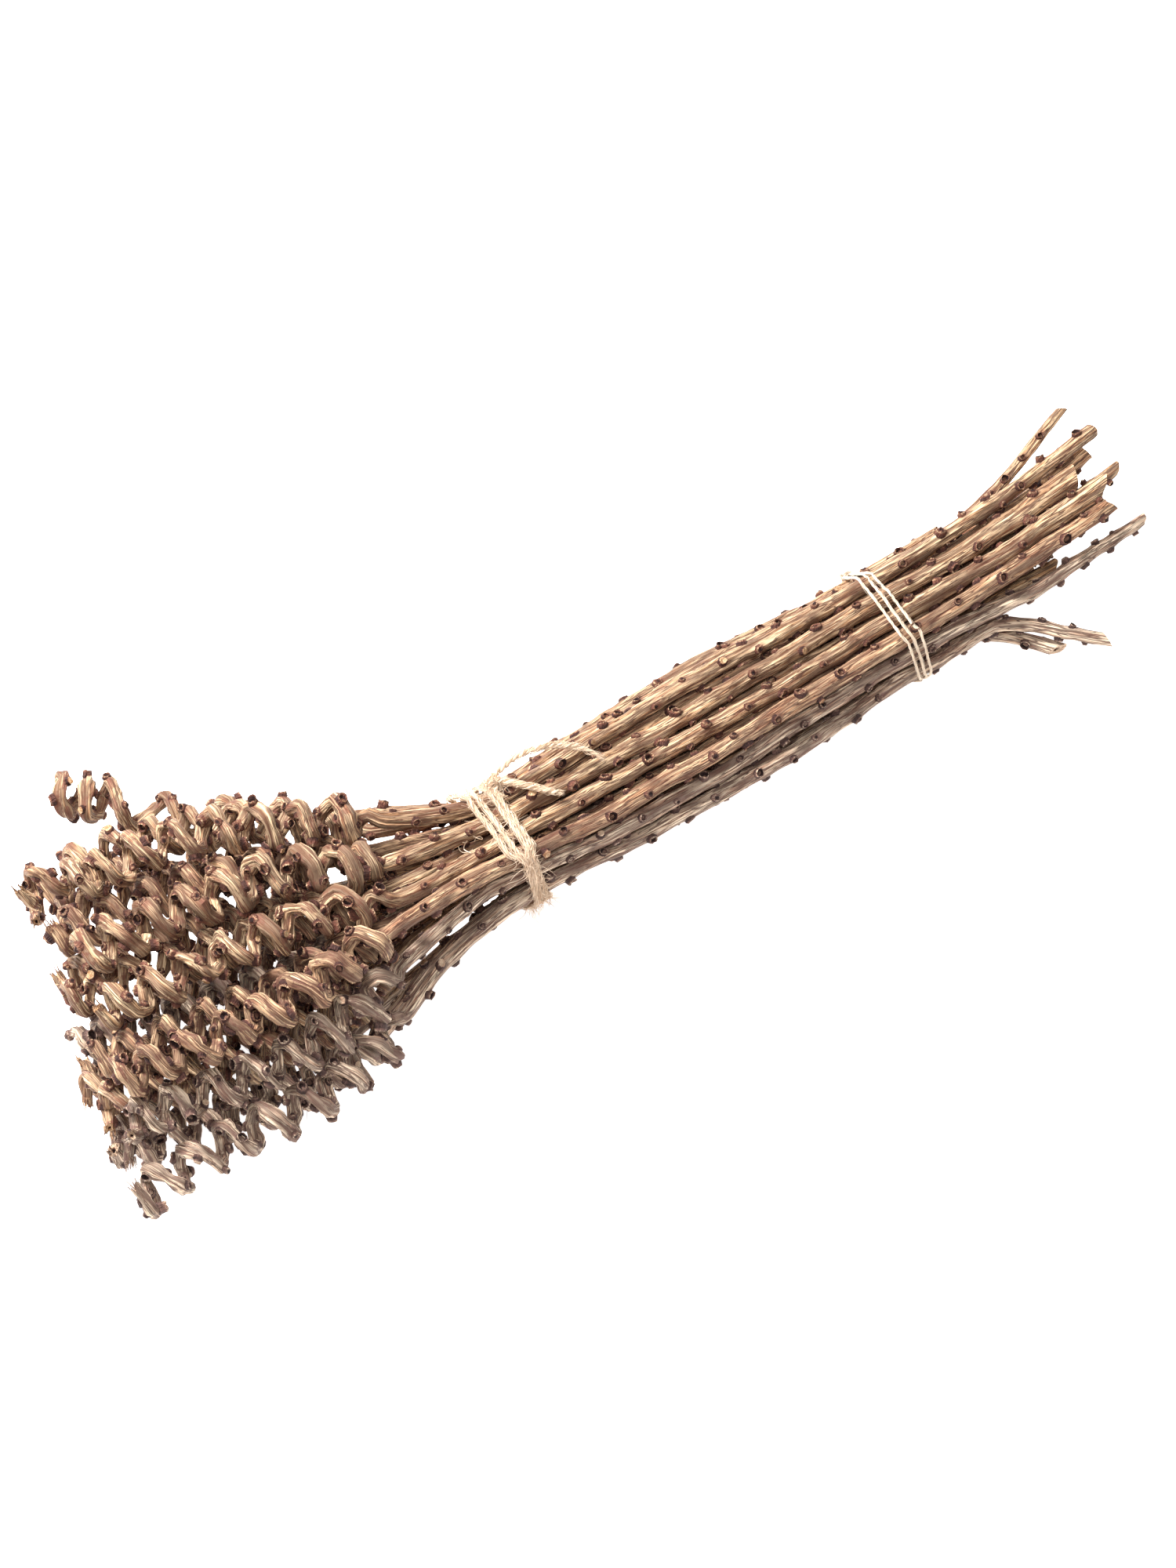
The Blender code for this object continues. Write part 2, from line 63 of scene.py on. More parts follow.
print("loading the frame")
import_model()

# Where the stems run. These are the rules that the solids follow, so that the bark fits them.
layout = {
    "rows": (4, 5, 6, 5, 4),
    "rowRise": 0.866,
    "stationX": (-290.0, -110.0, -60.0, 0.0, 60.0, 140.0, 237.0, 320.0, 395.0),
    "spreadY": (40.0, 29.8, 17.6, 11.1, 12.9, 14.1, 11.7, 12.6, 17.8),
    "spreadZ": (15.5, 23.5, 17.5, 10.7, 9.8, 9.4, 10.6, 11.8, 13.5),
    "middleY": (47.0, 8.0, 1.8, -0.4, 1.0, 7.7, 13.0, 16.2, 28.0),
    "middleZ": (45.0, 58.0, 56.0, 52.0, 47.5, 40.0, 31.0, 29.0, 27.0),
    "guideEnds": (400.0, -291.0),
    "guideStep": 2.0,
    "wanderY": (1.3, 34.0),
    "wanderZ": (1.0, 41.0),
    "lowerTieX": 0.0,
    "upperTieX": 237.0,
    # each stem: X of the cut, X where the spring starts, the spring's reach, diameter, cut diameter
    "stems": (
        ((254, -112, 250, 8.8, 8.6), (330, -104, 242, 8.4, 8.8), (366, -98, 176, 9.2, 10.0),
         (352, -92, 126, 8.6, 9.0)),
        ((314, -104, 252, 8.4, 7.4), (281, -96, 250, 9.0, 9.2), (360, -92, 200, 8.4, 9.4),
         (374, -86, 158, 8.8, 8.6), (340, -82, 234, 8.4, 8.0)),
        ((336, -96, 266, 8.2, 6.2), (335, -88, 252, 9.0, 8.6), (372, -84, 242, 8.6, 10.6),
         (352, -80, 234, 8.8, 9.2), (374, -74, 224, 8.2, 8.6), (294, -72, 218, 8.0, 9.4)),
        ((388, -90, 254, 8.2, 5.4), (374, -82, 246, 8.8, 8.8), (392, -74, 238, 8.4, 6.0),
         (384, -68, 232, 9.2, 9.6), (386, -62, 242, 7.8, 5.0)),
        ((374, -84, 246, 9.2, 8.0), (377, -74, 236, 8.8, 10.8), (366, -64, 228, 9.4, 12.6),
         (388, -58, 220, 8.6, 8.0)),
    ),
    # each bend: the stem, X where it starts and ends, and how far the stem moves in Y and Z
    "bends": (
        ((2, 0), 288.0, 348.0, -41.0, -3.0), ((1, 0), 277.0, 341.0, -48.0, 0.0),
        ((3, 4), 285.0, 385.0, 8.5, 3.0), ((4, 3), 290.0, 370.0, -6.5, 0.0),
        ((4, 0), 290.0, 360.0, 3.0, 0.0), ((3, 0), 270.0, 320.0, -3.0, 0.0),
        ((3, 0), 330.0, 390.0, 2.5, 0.0), ((3, 2), 300.0, 385.0, -3.0, 0.0),
        ((2, 5), -110.0, -250.0, 61.0, 4.0), ((3, 4), -110.0, -250.0, -12.0, 0.0),
        ((4, 2), -110.0, -250.0, -10.0, 0.0), ((4, 3), -110.0, -250.0, -8.0, 0.0),
        ((2, 0), -200.0, -275.0, -14.0, 0.0),
    ),
    "bent": ((2, 0), (1, 0), (3, 4)),
    "looseSpring": (2, 5),
    "tightStart": (4, 2),
}

# The springs, and how far each stem may differ from its neighbours
spring = {
    "radius": 10.0, "pitch": 20.5, "loosePitch": 31.0, "endPitch": 11.6,
    "endTurns": 1.2, "looseEndTurns": 2.6, "tightStartTurns": 1.4, "closingLength": 8.0,
    "rise": 13.0, "pointsPerTurn": 4.4, "hiddenPointsPerTurn": 4.0,
    "shaftStep": 68.0, "bentStep": 20.0, "flare": 110.0, "taper": 0.9,
    "pitchVaries": 0.02, "radiusVaries": 0.07, "thicknessVaries": 0.03,
    "endVaries": 0.4, "turnVaries": 0.05,
}

# Easing touching stems apart
easing = {
    "corner": 1.08, "gap": 0.45, "passes": 420, "wideShare": 0.6,
    "wide": (17.0, 2.4), "narrow": (6.0, 1.5), "reach": 16.0, "searchEvery": 10,
}


def vary(*key):                 # a fixed value from -1 to 1 for each key
    total = sum((place + 1) * 12.9898 * value for place, value in enumerate(key, 1))
    return 2.0 * ((math.sin(total) * 43758.5453) % 1.0) - 1.0


def ease(value):
    value = np.clip(value, 0.0, 1.0)
    return value * value * (3.0 - 2.0 * value)


def between(u, width, start, end, startSlope, endSlope):    # on a curve, a share u of the way
    first = (1 + 2 * u) * (1 - u) ** 2 * start + u * (1 - u) ** 2 * width * startSlope
    second = u ** 2 * (3 - 2 * u) * end + u ** 2 * (u - 1) * width * endSlope
    return first + second


def smooth(x, knots, values):   # a smooth curve through the values, read at x
    knots, values = np.asarray(knots), np.asarray(values)
    slopes = np.gradient(values, knots)
    cell = np.clip(np.searchsorted(knots, x) - 1, 0, len(knots) - 2)
    width = knots[cell + 1] - knots[cell]
    return between((x - knots[cell]) / width, width, values[cell], values[cell + 1],
                   slopes[cell], slopes[cell + 1])


def guideLine(row, column):
    across = column - (layout["rows"][row] - 1) / 2
    up = (row - (len(layout["rows"]) - 1) / 2) * layout["rowRise"]
    x = np.arange(*layout["guideEnds"], -layout["guideStep"])
    y = smooth(x, layout["stationX"], layout["middleY"])
    y += across * smooth(x, layout["stationX"], layout["spreadY"])
    z = smooth(x, layout["stationX"], layout["middleZ"])
    z += up * smooth(x, layout["stationX"], layout["spreadZ"])
    y += layout["wanderY"][0] * np.sin(x / layout["wanderY"][1] + 3.0 * vary(row, column, 1))
    z += layout["wanderZ"][0] * np.sin(x / layout["wanderZ"][1] + 3.0 * vary(row, column, 2))
    for stem, start, end, bendY, bendZ in layout["bends"]:
        if stem == (row, column):
            bent = ease((x - start) / (end - start))
            y += bendY * bent
            z += bendZ * bent
    line = np.stack((x, y, z), axis=1)
    run = np.append(0.0, np.cumsum(np.linalg.norm(np.diff(line, axis=0), axis=1)))
    return line, run - np.interp(-layout["lowerTieX"], -x, run)


def isOuter(row, column):
    return row in (0, len(layout["rows"]) - 1) or column in (0, layout["rows"][row] - 1)


def stemRoute(row, column):     # centre line points, radii, and places along the guide line
    cutX, coilX, reach, diameter, cutDiameter = layout["stems"][row][column]
    line, run = guideLine(row, column)

    def guide(place):
        return np.array([np.interp(place, run, line[:, axis]) for axis in range(3)])

    loose = (row, column) == layout["looseSpring"]
    pitch = spring["pitch"] * (1 + spring["pitchVaries"] * vary(row, column, 3))
    if loose:
        pitch = spring["loosePitch"]
    coilRadius = spring["radius"] * (1 + spring["radiusVaries"] * vary(row, column, 4))
    start, finish = np.interp((-cutX, -coilX), -line[:, 0], run)
    endTurns = spring["looseEndTurns"] if loose else spring["endTurns"]
    endStart = reach - spring["endPitch"] * (endTurns + spring["endVaries"] * vary(row, column, 5))
    tightEnd = finish + spring["tightStartTurns"] * spring["endPitch"]

    shaftStep = spring["bentStep" if (row, column) in layout["bent"] else "shaftStep"]
    places = list(np.linspace(start, finish, 1 + round((finish - start) / shaftStep)))
    turns = [0.0] * len(places)
    place = finish
    turn = place / pitch + spring["turnVaries"] * vary(row, column, 6)
    seen = row > 0 and isOuter(row, column)
    pointsPerTurn = spring["pointsPerTurn"] if seen else spring["hiddenPointsPerTurn"]
    while place < reach:
        closing = ease((place - endStart) / spring["closingLength"])
        if (row, column) == layout["tightStart"]:
            closing = max(closing, 1.0 - ease((place - tightEnd) / spring["closingLength"]))
        place += (pitch + (spring["endPitch"] - pitch) * closing) / pointsPerTurn
        turn += 1.0 / pointsPerTurn
        places.append(place)
        turns.append(turn)

    points, radii = [], []
    for place, turn in zip(places, turns):
        ahead = guide(place + layout["guideStep"]) - guide(place - layout["guideStep"])
        ahead /= np.linalg.norm(ahead)
        upward = np.array((0.0, 0.0, 1.0)) - ahead[2] * ahead
        upward /= np.linalg.norm(upward)
        aside = np.cross(ahead, upward)
        swing = coilRadius * ease((place - finish) / spring["rise"])
        angle = 2 * math.pi * turn
        points.append(guide(place) + swing * (math.cos(angle) * upward + math.sin(angle) * aside))
        taper = 1.0 + (spring["taper"] - 1.0) * ease(place / reach)
        flare = (cutDiameter / diameter - 1.0) * ease((start + spring["flare"] - place) / spring["flare"])
        uneven = 1 + spring["thicknessVaries"] * vary(row, column, round(place))
        radii.append(0.5 * diameter * (taper + flare) * uneven)
    return np.array(points), np.array(radii), np.array(places)


def closestOnSegments(first, firstEnd, second, secondEnd):
    along, other = firstEnd - first, secondEnd - second
    apart = first - second
    aa = np.einsum("ij,ij->i", along, along)
    ab = np.einsum("ij,ij->i", along, other)
    bb = np.einsum("ij,ij->i", other, other)
    ac = np.einsum("ij,ij->i", along, apart)
    bc = np.einsum("ij,ij->i", other, apart)
    s = np.clip((ab * bc - ac * bb) / np.maximum(aa * bb - ab * ab, 1e-6), 0.0, 1.0)
    t = np.clip((ab * s + bc) / bb, 0.0, 1.0)
    s = np.clip((ab * t - ac) / aa, 0.0, 1.0)
    return s, t


def spreadApart(routes, radii, places):
    points = np.concatenate(routes)
    radius = np.concatenate(radii) * easing["corner"]
    owner = np.repeat(np.arange(len(routes)), [len(route) for route in routes])
    starts = np.flatnonzero(owner[:-1] == owner[1:])
    along = np.concatenate(places)

    def soften(width):
        near = np.exp(-0.5 * ((along[:, None] - along[None, :]) / width) ** 2)
        near[owner[:, None] != owner[None, :]] = 0.0
        return near / near.sum(axis=1, keepdims=True)

    wide = easing["wide"][1] * soften(easing["wide"][0])
    narrow = easing["narrow"][1] * soften(easing["narrow"][0])
    for step in range(easing["passes"]):
        if step % easing["searchEvery"] == 0:
            middle = 0.5 * (points[starts] + points[starts + 1])
            half = 0.5 * np.linalg.norm(points[starts + 1] - points[starts], axis=1)
            distance = np.linalg.norm(middle[:, None, :] - middle[None, :, :], axis=2)
            near = distance < half[:, None] + half[None, :] + easing["reach"]
            near &= owner[starts][:, None] < owner[starts][None, :]
            one, two = np.nonzero(near)
            one, two = starts[one], starts[two]
        s, t = closestOnSegments(points[one], points[one + 1], points[two], points[two + 1])
        here = points[one] + s[:, None] * (points[one + 1] - points[one])
        there = points[two] + t[:, None] * (points[two + 1] - points[two])
        apart = here - there
        distance = np.maximum(np.linalg.norm(apart, axis=1), 1e-6)
        wanted = (1 - s) * radius[one] + s * radius[one + 1]
        wanted += (1 - t) * radius[two] + t * radius[two + 1] + easing["gap"]
        lack = wanted - distance
        tight = lack > 0
        if not tight.any():
            break
        push = (0.5 * lack / distance)[tight, None] * apart[tight]
        shift, weight = np.zeros_like(points), np.zeros(len(points))
        for index, share, sign in ((one, 1 - s, 1), (one + 1, s, 1), (two, 1 - t, -1), (two + 1, t, -1)):
            np.add.at(shift, index[tight], sign * share[tight, None] * push)
            np.add.at(weight, index[tight], share[tight])
        shift /= np.maximum(weight, 1.0)[:, None]
        points += (wide if step < easing["wideShare"] * easing["passes"] else narrow) @ shift
    return [points[owner == index] for index in range(len(routes))]


def layOutStems():
    slots = [(row, column) for row, count in enumerate(layout["rows"]) for column in range(count)]
    routes, radii, places = zip(*(stemRoute(row, column) for row, column in slots))
    return slots, spreadApart(routes, radii, places), radii


# Small tools for lines and meshes

def evenly(points, step, softness=1.0, closed=False):
    # a smooth line through the points with even steps; also where each step lies among the points
    points = np.asarray(points, float)
    if closed:
        points = np.concatenate((points[-3:], points, points[:4]))
    run = np.append(0.0, np.cumsum(np.linalg.norm(np.diff(points, axis=0), axis=1)))
    slopes = np.gradient(points, run, axis=0) * softness
    first, last = (run[3], run[-4]) if closed else (0.0, run[-1])
    fine = np.linspace(first, last, 2 + int((last - first) / 0.5))
    cell = np.clip(np.searchsorted(run, fine, side="right") - 1, 0, len(run) - 2)
    width = (run[cell + 1] - run[cell])[:, None]
    line = between((fine[:, None] - run[cell][:, None]) / width, width, points[cell], points[cell + 1],
                   slopes[cell], slopes[cell + 1])
    length = np.append(0.0, np.cumsum(np.linalg.norm(np.diff(line, axis=0), axis=1)))
    places = np.linspace(0.0, length[-1], 1 + max(2, round(length[-1] / step)))
    even = np.stack([np.interp(places, length, line[:, axis]) for axis in range(3)], axis=1)
    return even, places, np.interp(places, length, fine)


def carriedFrames(line):        # directions ahead, aside and outward that don't twist along the line
    ahead = np.gradient(line, axis=0)
    ahead /= np.linalg.norm(ahead, axis=1, keepdims=True)
    aside = np.empty_like(ahead)
    last = np.cross(ahead[0], (0.0, 0.0, 1.0))
    for index, direction in enumerate(ahead):
        last = last - last.dot(direction) * direction
        last = last / np.linalg.norm(last)
        aside[index] = last
    return ahead, aside, np.cross(ahead, aside)


def waves(turn, along, cells, length, generator):
    # smooth noise on a stem's skin: cells round it, each of that length; from -1 to 1
    lattice = generator.uniform(-1.0, 1.0, (int(along.max() / length) + 4, cells))
    u, v = (turn % 1.0) * cells, along / length + 1.0
    i, j = np.floor(u).astype(int), np.floor(v).astype(int)
    fu, fv = ease(u - i), ease(v - j)
    i, after = i % cells, (i + 1) % cells
    low = lattice[j, i] * (1 - fu) + lattice[j, after] * fu
    high = lattice[j + 1, i] * (1 - fu) + lattice[j + 1, after] * fu
    return low * (1 - fv) + high * fv


def meshPiece(name, points, faces, values):
    # a mesh object from arrays, with its point attributes; the points are in millimetres
    mesh = bpy.data.meshes.new(name)
    mesh.from_pydata(np.asarray(points) * mm, [], faces)
    setValues(mesh, values)
    mesh.update()
    item = bpy.data.objects.new(name, mesh)
    bpy.context.scene.collection.objects.link(item)
    return item


def setValues(mesh, values):
    for name, value in values.items():
        kind = "FLOAT_VECTOR" if value.ndim == 2 else "FLOAT"
        attribute = mesh.attributes.new(name, kind, "POINT")
        attribute.data.foreach_set("vector" if value.ndim == 2 else "value", value.astype(np.float32).ravel())


def tubes(lines, widths, sides=3, closed=False):
    # one tube for each line: arrays (tubes, stops, 3) and (tubes, stops) to points and faces
    lines, widths = np.asarray(lines, float), np.asarray(widths, float)
    count, stops = widths.shape
    if closed:
        ahead = np.roll(lines, -1, axis=1) - np.roll(lines, 1, axis=1)
    else:
        ahead = np.gradient(lines, axis=1)
    ahead /= np.maximum(np.linalg.norm(ahead, axis=2, keepdims=True), 1e-9)
    mean = ahead.mean(axis=1)
    least = np.eye(3)[np.abs(mean).argmin(axis=1)][:, None, :]
    aside = np.cross(ahead, least)
    aside /= np.maximum(np.linalg.norm(aside, axis=2, keepdims=True), 1e-9)
    outward = np.cross(ahead, aside)
    angle = 2 * math.pi * np.arange(sides) / sides
    ring = np.cos(angle)[None, None, :, None] * aside[:, :, None]
    ring = ring + np.sin(angle)[None, None, :, None] * outward[:, :, None]
    points = lines[:, :, None, :] + 0.5 * widths[:, :, None, None] * ring
    index = np.arange(count * stops * sides).reshape(count, stops, sides)
    after = np.roll(index, -1, axis=2)
    if closed:
        near, far = index, np.roll(index, -1, axis=1)
        nearAfter, farAfter = after, np.roll(after, -1, axis=1)
    else:
        near, far, nearAfter, farAfter = index[:, :-1], index[:, 1:], after[:, :-1], after[:, 1:]
    faces = np.stack((near, nearAfter, farAfter, far), axis=-1).reshape(-1, 4).tolist()
    if not closed:
        faces += index[:, 0, ::-1].tolist() + index[:, -1].tolist()
    return points.reshape(-1, 3), faces


# The bark of one stem: a rod is cut into rings, and its skin is carried along the stem's line
bark = {
    "sides": 34, "ringStep": 2.7, "firstCuts": 19,
    "softness": 0.42,           # below 1 the springs keep their kinks
    "fullness": (0.1, -0.3),    # over the solid's radius, in the shaft and in the spring
    "wander": (0.45, 1.2),      # sideways, in the shaft and in the spring
    "lobes": (5, 30.0, 0.6),    # cells round, their length, height
    "ribs": (15, 24.0, 0.30),
    "furrows": (9, 34.0, 0.55, 0.34),   # cells round, length, depth, width
    "finerFurrows": (5, 0.7, 0.7, 0.8),     # more cells round; length, depth and width as shares
    "creases": (5, 6.0, 1.6),   # across the stem in the springs
    "drift": (0.05, 85.0),      # how far round the ribs sway, and over what length
    "capInsets": (0.1, 0.12, 0.36, 0.2),
    "tipLength": 55.0, "tipFade": 30.0, "tipRelief": 0.45,
    # the oblique cut: its least and most slope, how far it reaches, its jags, the depth of the pith
    "cutTilt": (0.35, 0.75), "cutReach": 14.0, "cutJags": (9, 0.7), "pithReach": 0.42,
    "pithDepth": 2.2,
    # the torn end of the spring: how far it reaches, its jags, hollow and narrowing
    "tornReach": 9.0, "tornJags": (7, 2.6), "tornHollow": 2.6, "tornNarrowing": 0.22,
}

buds = {
    "sides": 8, "spacing": 8.2, "spacingVaries": 0.32, "turn": 2.4, "turnVaries": 0.6,
    "halfLength": 2.9, "halfWidth": 2.45, "height": 1.75, "sizeVaries": 0.24,
    "swelling": (0.7, 4.4, 3.4),         # height, length and width of the bark raised round a bud
    "tieClearance": (9.0, 5.5),
    "first": (7.0, 3.0), "endGap": 5.0,  # from the cut end, and from the spring's end
    "thinCut": 7.5, "pairedTo": 120.0,   # a thin tip has its buds in opposite pairs, this far
    "lean": 0.32, "roll": 0.5, "uneven": 0.13, "rimVaries": 0.3, "sunk": 0.35,
    "coilSize": 0.2,                     # how much larger buds are in the springs
    # ring by ring: rise, reach from the middle, darkness, and whether it is a cut face; the darkness is the
    # bud's own colour plus painted shade in the hollow and a painted highlight on the rim's top
    "hollow": ((-0.5, 1.1, 0.7, 0), (0.5, 1.02, 0.7, 0), (1.0, 0.86, 0.16, 0), (0.95, 0.68, 0.4, 0),
               (0.1, 0.52, 1.0, 0)),
    "torn": ((-0.5, 1.06, 0.7, 0), (0.6, 1.0, 0.6, 0), (1.4, 0.94, 0.12, 0), (1.1, 0.76, 0.9, 0),
             (0.0, 0.5, 1.0, 0)),
    "knob": ((-0.5, 1.0, 0.75, 0), (0.45, 0.96, 0.5, 0), (1.0, 0.72, 0.2, 0), (1.15, 0.3, 0.8, 0)),
    "capped": ((-0.5, 1.0, 0.5, 0), (0.5, 0.94, 0.75, 0), (0.85, 0.8, 0.7, 0), (1.3, 0.72, 0.1, 1)),
    "kinds": ("hollow", "torn", "knob", "capped"),
    "shares": (0.44, 0.14, 0.32, 0.10),
}


def deselectAll():
    if bpy.context.object and bpy.context.object.mode != "OBJECT":
        bpy.ops.object.mode_set(mode="OBJECT")
    bpy.ops.object.select_all(action="DESELECT")


def modelBud(kind):             # one bud, ring on ring, as points, faces, darkness and cut face
    rings = buds[kind]
    deselectAll()
    bpy.ops.mesh.primitive_circle_add(vertices=buds["sides"], radius=rings[0][1], fill_type="NGON",
                                      location=(0, 0, rings[0][0]))
    item = bpy.context.object
    bpy.ops.object.transform_apply(location=True, rotation=False, scale=False)
    bpy.ops.object.mode_set(mode="EDIT")
    bpy.ops.mesh.select_mode(type="FACE")
    bpy.ops.mesh.select_all(action="SELECT")
    for before, after in zip(rings, rings[1:]):
        bpy.ops.mesh.extrude_region_move(
            TRANSFORM_OT_translate={"value": (0, 0, after[0] - before[0])})
        share = after[1] / before[1]
        bpy.ops.transform.resize(value=(share, share, 1))
    bpy.ops.mesh.select_all(action="SELECT")
    bpy.ops.mesh.normals_make_consistent(inside=False)
    bpy.ops.object.mode_set(mode="OBJECT")
    points = np.array([tuple(vertex.co) for vertex in item.data.vertices])
    reach = np.hypot(points[:, 0], points[:, 1])
    place = np.array([np.argmin([abs(z - ring[0]) + abs(r - ring[1]) for ring in rings])
                      for z, r in zip(points[:, 2], reach)])
    # extrude's order of points changes from run to run, so they are put in order ring by ring
    turn = (np.arctan2(points[:, 1], points[:, 0]) / (2 * math.pi) + 0.03) % 1.0
    order = np.lexsort((turn, place))
    points, place, rank = points[order], place[order], np.argsort(order)
    faces = []
    for face in item.data.polygons:
        corners = [int(rank[corner]) for corner in face.vertices]
        first = corners.index(min(corners))
        faces.append(corners[first:] + corners[:first])
    faces.sort()
    dark = np.array([rings[index][2] for index in place], float)
    cut = np.array([rings[index][3] for index in place], float)
    bpy.data.objects.remove(item)
    return points, faces, dark, cut


def roughRod(name, rings):      # a straight rod of unit size, cut into rings, its ends inset
    deselectAll()
    bpy.ops.mesh.primitive_cylinder_add(vertices=bark["sides"], radius=1.0, depth=1.0, location=(0, 0, 0))
    rod = bpy.context.object
    rod.name = rod.data.name = name
    bpy.ops.object.mode_set(mode="EDIT")
    bpy.ops.mesh.select_mode(type="EDGE")
    for cuts in (bark["firstCuts"], rings // (bark["firstCuts"] + 1) - 1):
        edit = bmesh.from_edit_mesh(rod.data)
        for edge in edit.edges:
            edge.select_set(abs(edge.verts[0].co.z - edge.verts[1].co.z) > 1e-5)
        bmesh.update_edit_mesh(rod.data)
        bpy.ops.mesh.subdivide(number_cuts=cuts)
    bpy.ops.mesh.select_mode(type="FACE")
    for thickness in bark["capInsets"]:
        edit = bmesh.from_edit_mesh(rod.data)
        for face in edit.faces:
            face.select_set(len(face.verts) > 4)
        bmesh.update_edit_mesh(rod.data)
        bpy.ops.mesh.inset(thickness=thickness)
    bpy.ops.object.mode_set(mode="OBJECT")
    return rod


def budPlaces(row, column, length, generator):
    # places along the stem and turns round it, from the cut end
    thin = layout["stems"][row][column][4] < buds["thinCut"]
    place = buds["first"][0] + buds["first"][1] * generator.uniform()
    angle, found = 2 * math.pi * generator.uniform(), []
    while place < length - buds["endGap"]:
        found.append((place, angle))
        place += buds["spacing"] * (1 + buds["spacingVaries"] * generator.uniform(-1, 1))
        if thin and place < buds["pairedTo"]:
            angle += math.pi
        else:
            angle += buds["turn"] + buds["turnVaries"] * generator.uniform(-1, 1)
    return np.array(found)


def skinRelief(turn, along, radius, coil, spots, generator):
    # height of the bark above a plain round stem, and how deep in a furrow each point is
    drift = turn + bark["drift"][0] * np.sin(along / bark["drift"][1] + 6.0 * generator.uniform())
    relief = 1.0 - (1.0 - bark["tipRelief"]) * ease((bark["tipLength"] - along) / bark["tipFade"])
    height = bark["lobes"][2] * waves(turn, along, *bark["lobes"][:2], generator)
    height += bark["ribs"][2] * relief * waves(drift, along, *bark["ribs"][:2], generator)
    cells, length, depth, width = bark["furrows"]
    line = waves(drift, along, cells, length, generator)
    furrow = np.exp(-(line / width) ** 2)
    more, shorter, shallower, narrower = bark["finerFurrows"]
    line = waves(drift, along, cells + more, shorter * length, generator)
    finer = np.exp(-(line / (narrower * width)) ** 2)
    furrow = np.maximum(furrow, shallower * finer)
    height -= depth * relief * furrow
    height += coil * bark["creases"][2] * waves(turn, along, *bark["creases"][:2], generator)
    swell, swellLength, swellWidth = buds["swelling"]
    halo = np.zeros_like(height)
    for place, angle in spots:
        near = np.abs(along[:, 0] - place) < 3 * swellLength
        aside = (turn[near] - angle / (2 * math.pi) + 0.5) % 1.0 - 0.5
        aside = aside * 2 * math.pi * radius[near]
        bump = np.exp(-((along[near] - place) / swellLength) ** 2 - (aside / swellWidth) ** 2)
        halo[near] = np.maximum(halo[near], bump)
    return height + swell * halo, furrow * relief, halo


